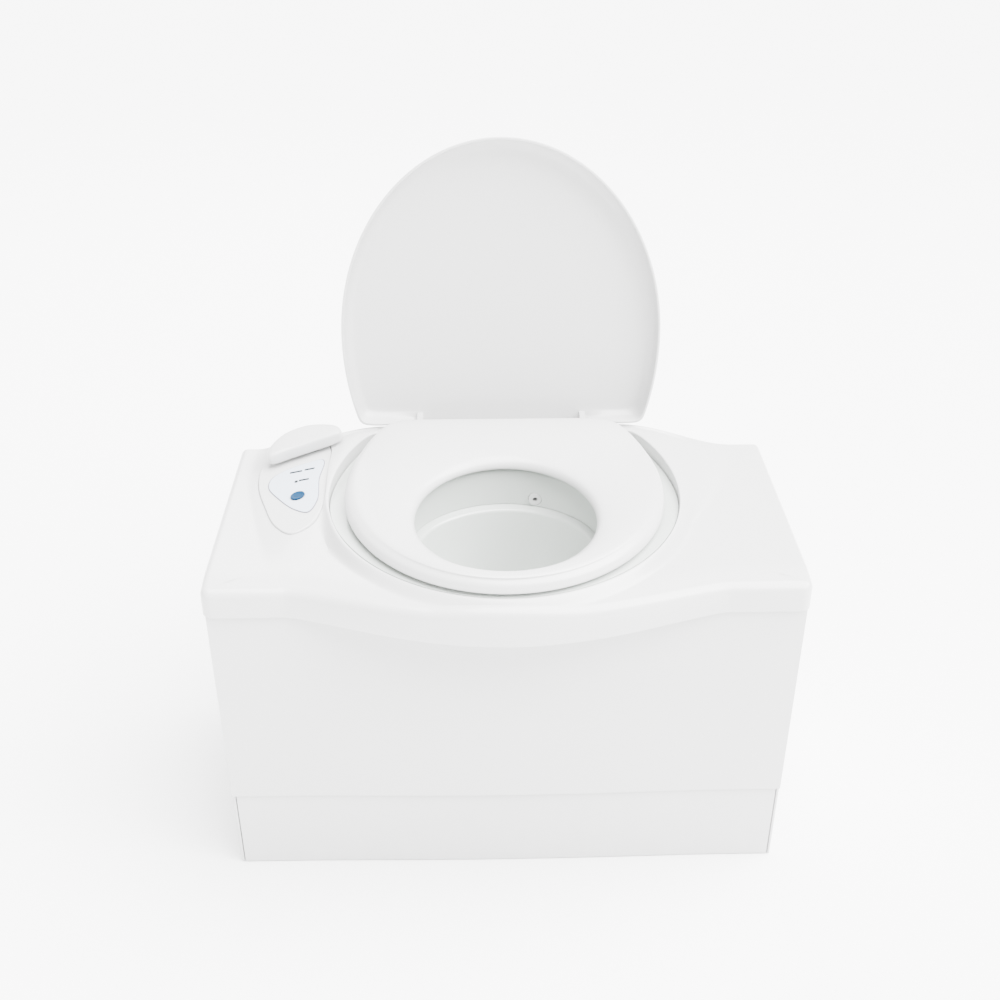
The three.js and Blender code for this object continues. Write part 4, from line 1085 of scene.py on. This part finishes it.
vent_low, vent_high = box_mm("vent_button")
vent_x, vent_z = (vent_low[[0, 2]] + vent_high[[0, 2]]) / 2
vent_centre = np.array([vent_x, vent_low[1], vent_z])
vent_length = vent_high[1] - vent_low[1]
vent_steps = [
    (0, 0), (10, 0), (10, 4), (8, 4), (8, vent_length), (5, vent_length), (0, vent_length - 0.8),
]
vent = turned("vent_push", vent_centre, (0, 1, 0), vent_steps, [0, 0.6, 0.6, 0.4, 1.6, 2, 0], 5)
stand_for(vent, "vent_button")

# %% [markdown]
# The remaining visible mouldings are right in shape but have knife edges. A merged copy of each
# gets a small bevel, as every moulding tool gives, and stands in for the CAD node.

# %% Bevelled copies


def eased(node, width):
    """Merged copy of a CAD node with its flat faces made whole and its edges bevelled."""
    source = frame["nodes"][node]
    obj = bpy.data.objects.new(node + "_eased", source.data.copy())
    bpy.context.scene.collection.objects.link(obj)
    mesh = bmesh.new()
    mesh.from_mesh(obj.data)
    bmesh.ops.remove_doubles(mesh, verts=mesh.verts, dist=2e-6)
    bmesh.ops.dissolve_limit(mesh, angle_limit=math.radians(1), verts=mesh.verts, edges=mesh.edges)
    mesh.to_mesh(obj.data)
    mesh.free()
    bevel = obj.modifiers.new("edge", "BEVEL")
    bevel.width = width * MM
    bevel.segments = 3
    bevel.limit_method = "ANGLE"
    bevel.angle_limit = math.radians(40)
    graph = bpy.context.evaluated_depsgraph_get()
    obj.data = bpy.data.meshes.new_from_object(obj.evaluated_get(graph))
    obj.modifiers.clear()
    return tidy(obj)


EASED = {
    "side_panel_left": 0.8, "side_panel_right": 0.8, "back_frame": 0.8, "cassette_tank": 0.9,
    "carry_handle": 1.6, "hinge_base": 0.7, "drain_plug": 1.0, "fill_neck": 0.5, "base_tray": 0.8,
    "bay_wall_left": 0.6, "bay_wall_right": 0.6, "runner_left": 0.8, "runner_right": 0.8,
}
for eased_node, edge_width in EASED.items():
    stand_for(eased(eased_node, edge_width), eased_node)

# %% [markdown]
# The camera stands in front, above the bench, and looks down at it.

# %% Camera
CAMERA_PLACE = (-0.036, -1.431, 1.264)
CAMERA_TILT = math.radians(60)
CAMERA_TURN = math.radians(-1.23)

camera = bpy.data.objects.new("camera", bpy.data.cameras.new("camera"))
bpy.context.scene.collection.objects.link(camera)
camera.data.lens = 48.0
camera.data.sensor_width = 36.0
camera.location = CAMERA_PLACE
camera.rotation_euler = (CAMERA_TILT, 0, CAMERA_TURN)
bpy.context.scene.camera = camera
print("camera at", CAMERA_PLACE)

# %% [markdown]
# The light is soft and comes mostly from above on the right, so that white shapes still part from
# each other. A bright world keeps every shadow pale.

# %% Floor, light and world
CEILING_STRENGTH = 24.0
WORLD_STRENGTH = 1.5
FLOOR_GAP = 0.0005


def area_light(name, place, aim, size, power):
    """Square soft light at a place, turned to face an aim."""
    lamp = bpy.data.lights.new(name, "AREA")
    lamp.size = size
    lamp.energy = power
    obj = bpy.data.objects.new(name, lamp)
    obj.location = place
    obj.rotation_euler = (Vector(aim) - Vector(place)).to_track_quat("-Z", "Y").to_euler()
    bpy.context.scene.collection.objects.link(obj)


area_light("key", (2.2, -0.9, 2.6), (0, 0, 0.4), 1.8, 120)
area_light("rim", (-0.4, 2.4, 2.2), (0, 0, 0.5), 1.6, 60)

ceiling = bpy.data.lights.new("ceiling", "SUN")
ceiling.energy = CEILING_STRENGTH
ceiling.angle = math.radians(70)
ceiling_object = bpy.data.objects.new("ceiling", ceiling)
ceiling_object.rotation_euler = (math.radians(5), math.radians(20), 0)
bpy.context.scene.collection.objects.link(ceiling_object)

world = bpy.data.worlds.new("studio")
bpy.context.scene.world = world
world.use_nodes = True
background = world.node_tree.nodes["Background"]
background.inputs["Color"].default_value = (1, 1, 1, 1)
background.inputs["Strength"].default_value = WORLD_STRENGTH

paint = Graph("studio_floor")
floor_cloud = paint.noise(3.0, 2.0)
paint.finish(
    {"Specular IOR Level": 0.2},
    Base_Color=paint.blend(floor_cloud, (0.97, 0.97, 0.97), (0.985, 0.985, 0.985)),
    Roughness=0.75 + floor_cloud * 0.1)
bpy.ops.mesh.primitive_plane_add(size=40, location=(0, 0, -FLOOR_GAP))
floor = bpy.context.object
floor.name = "studio_floor"
floor.data.materials.append(paint.material)
print("floor and lights placed")
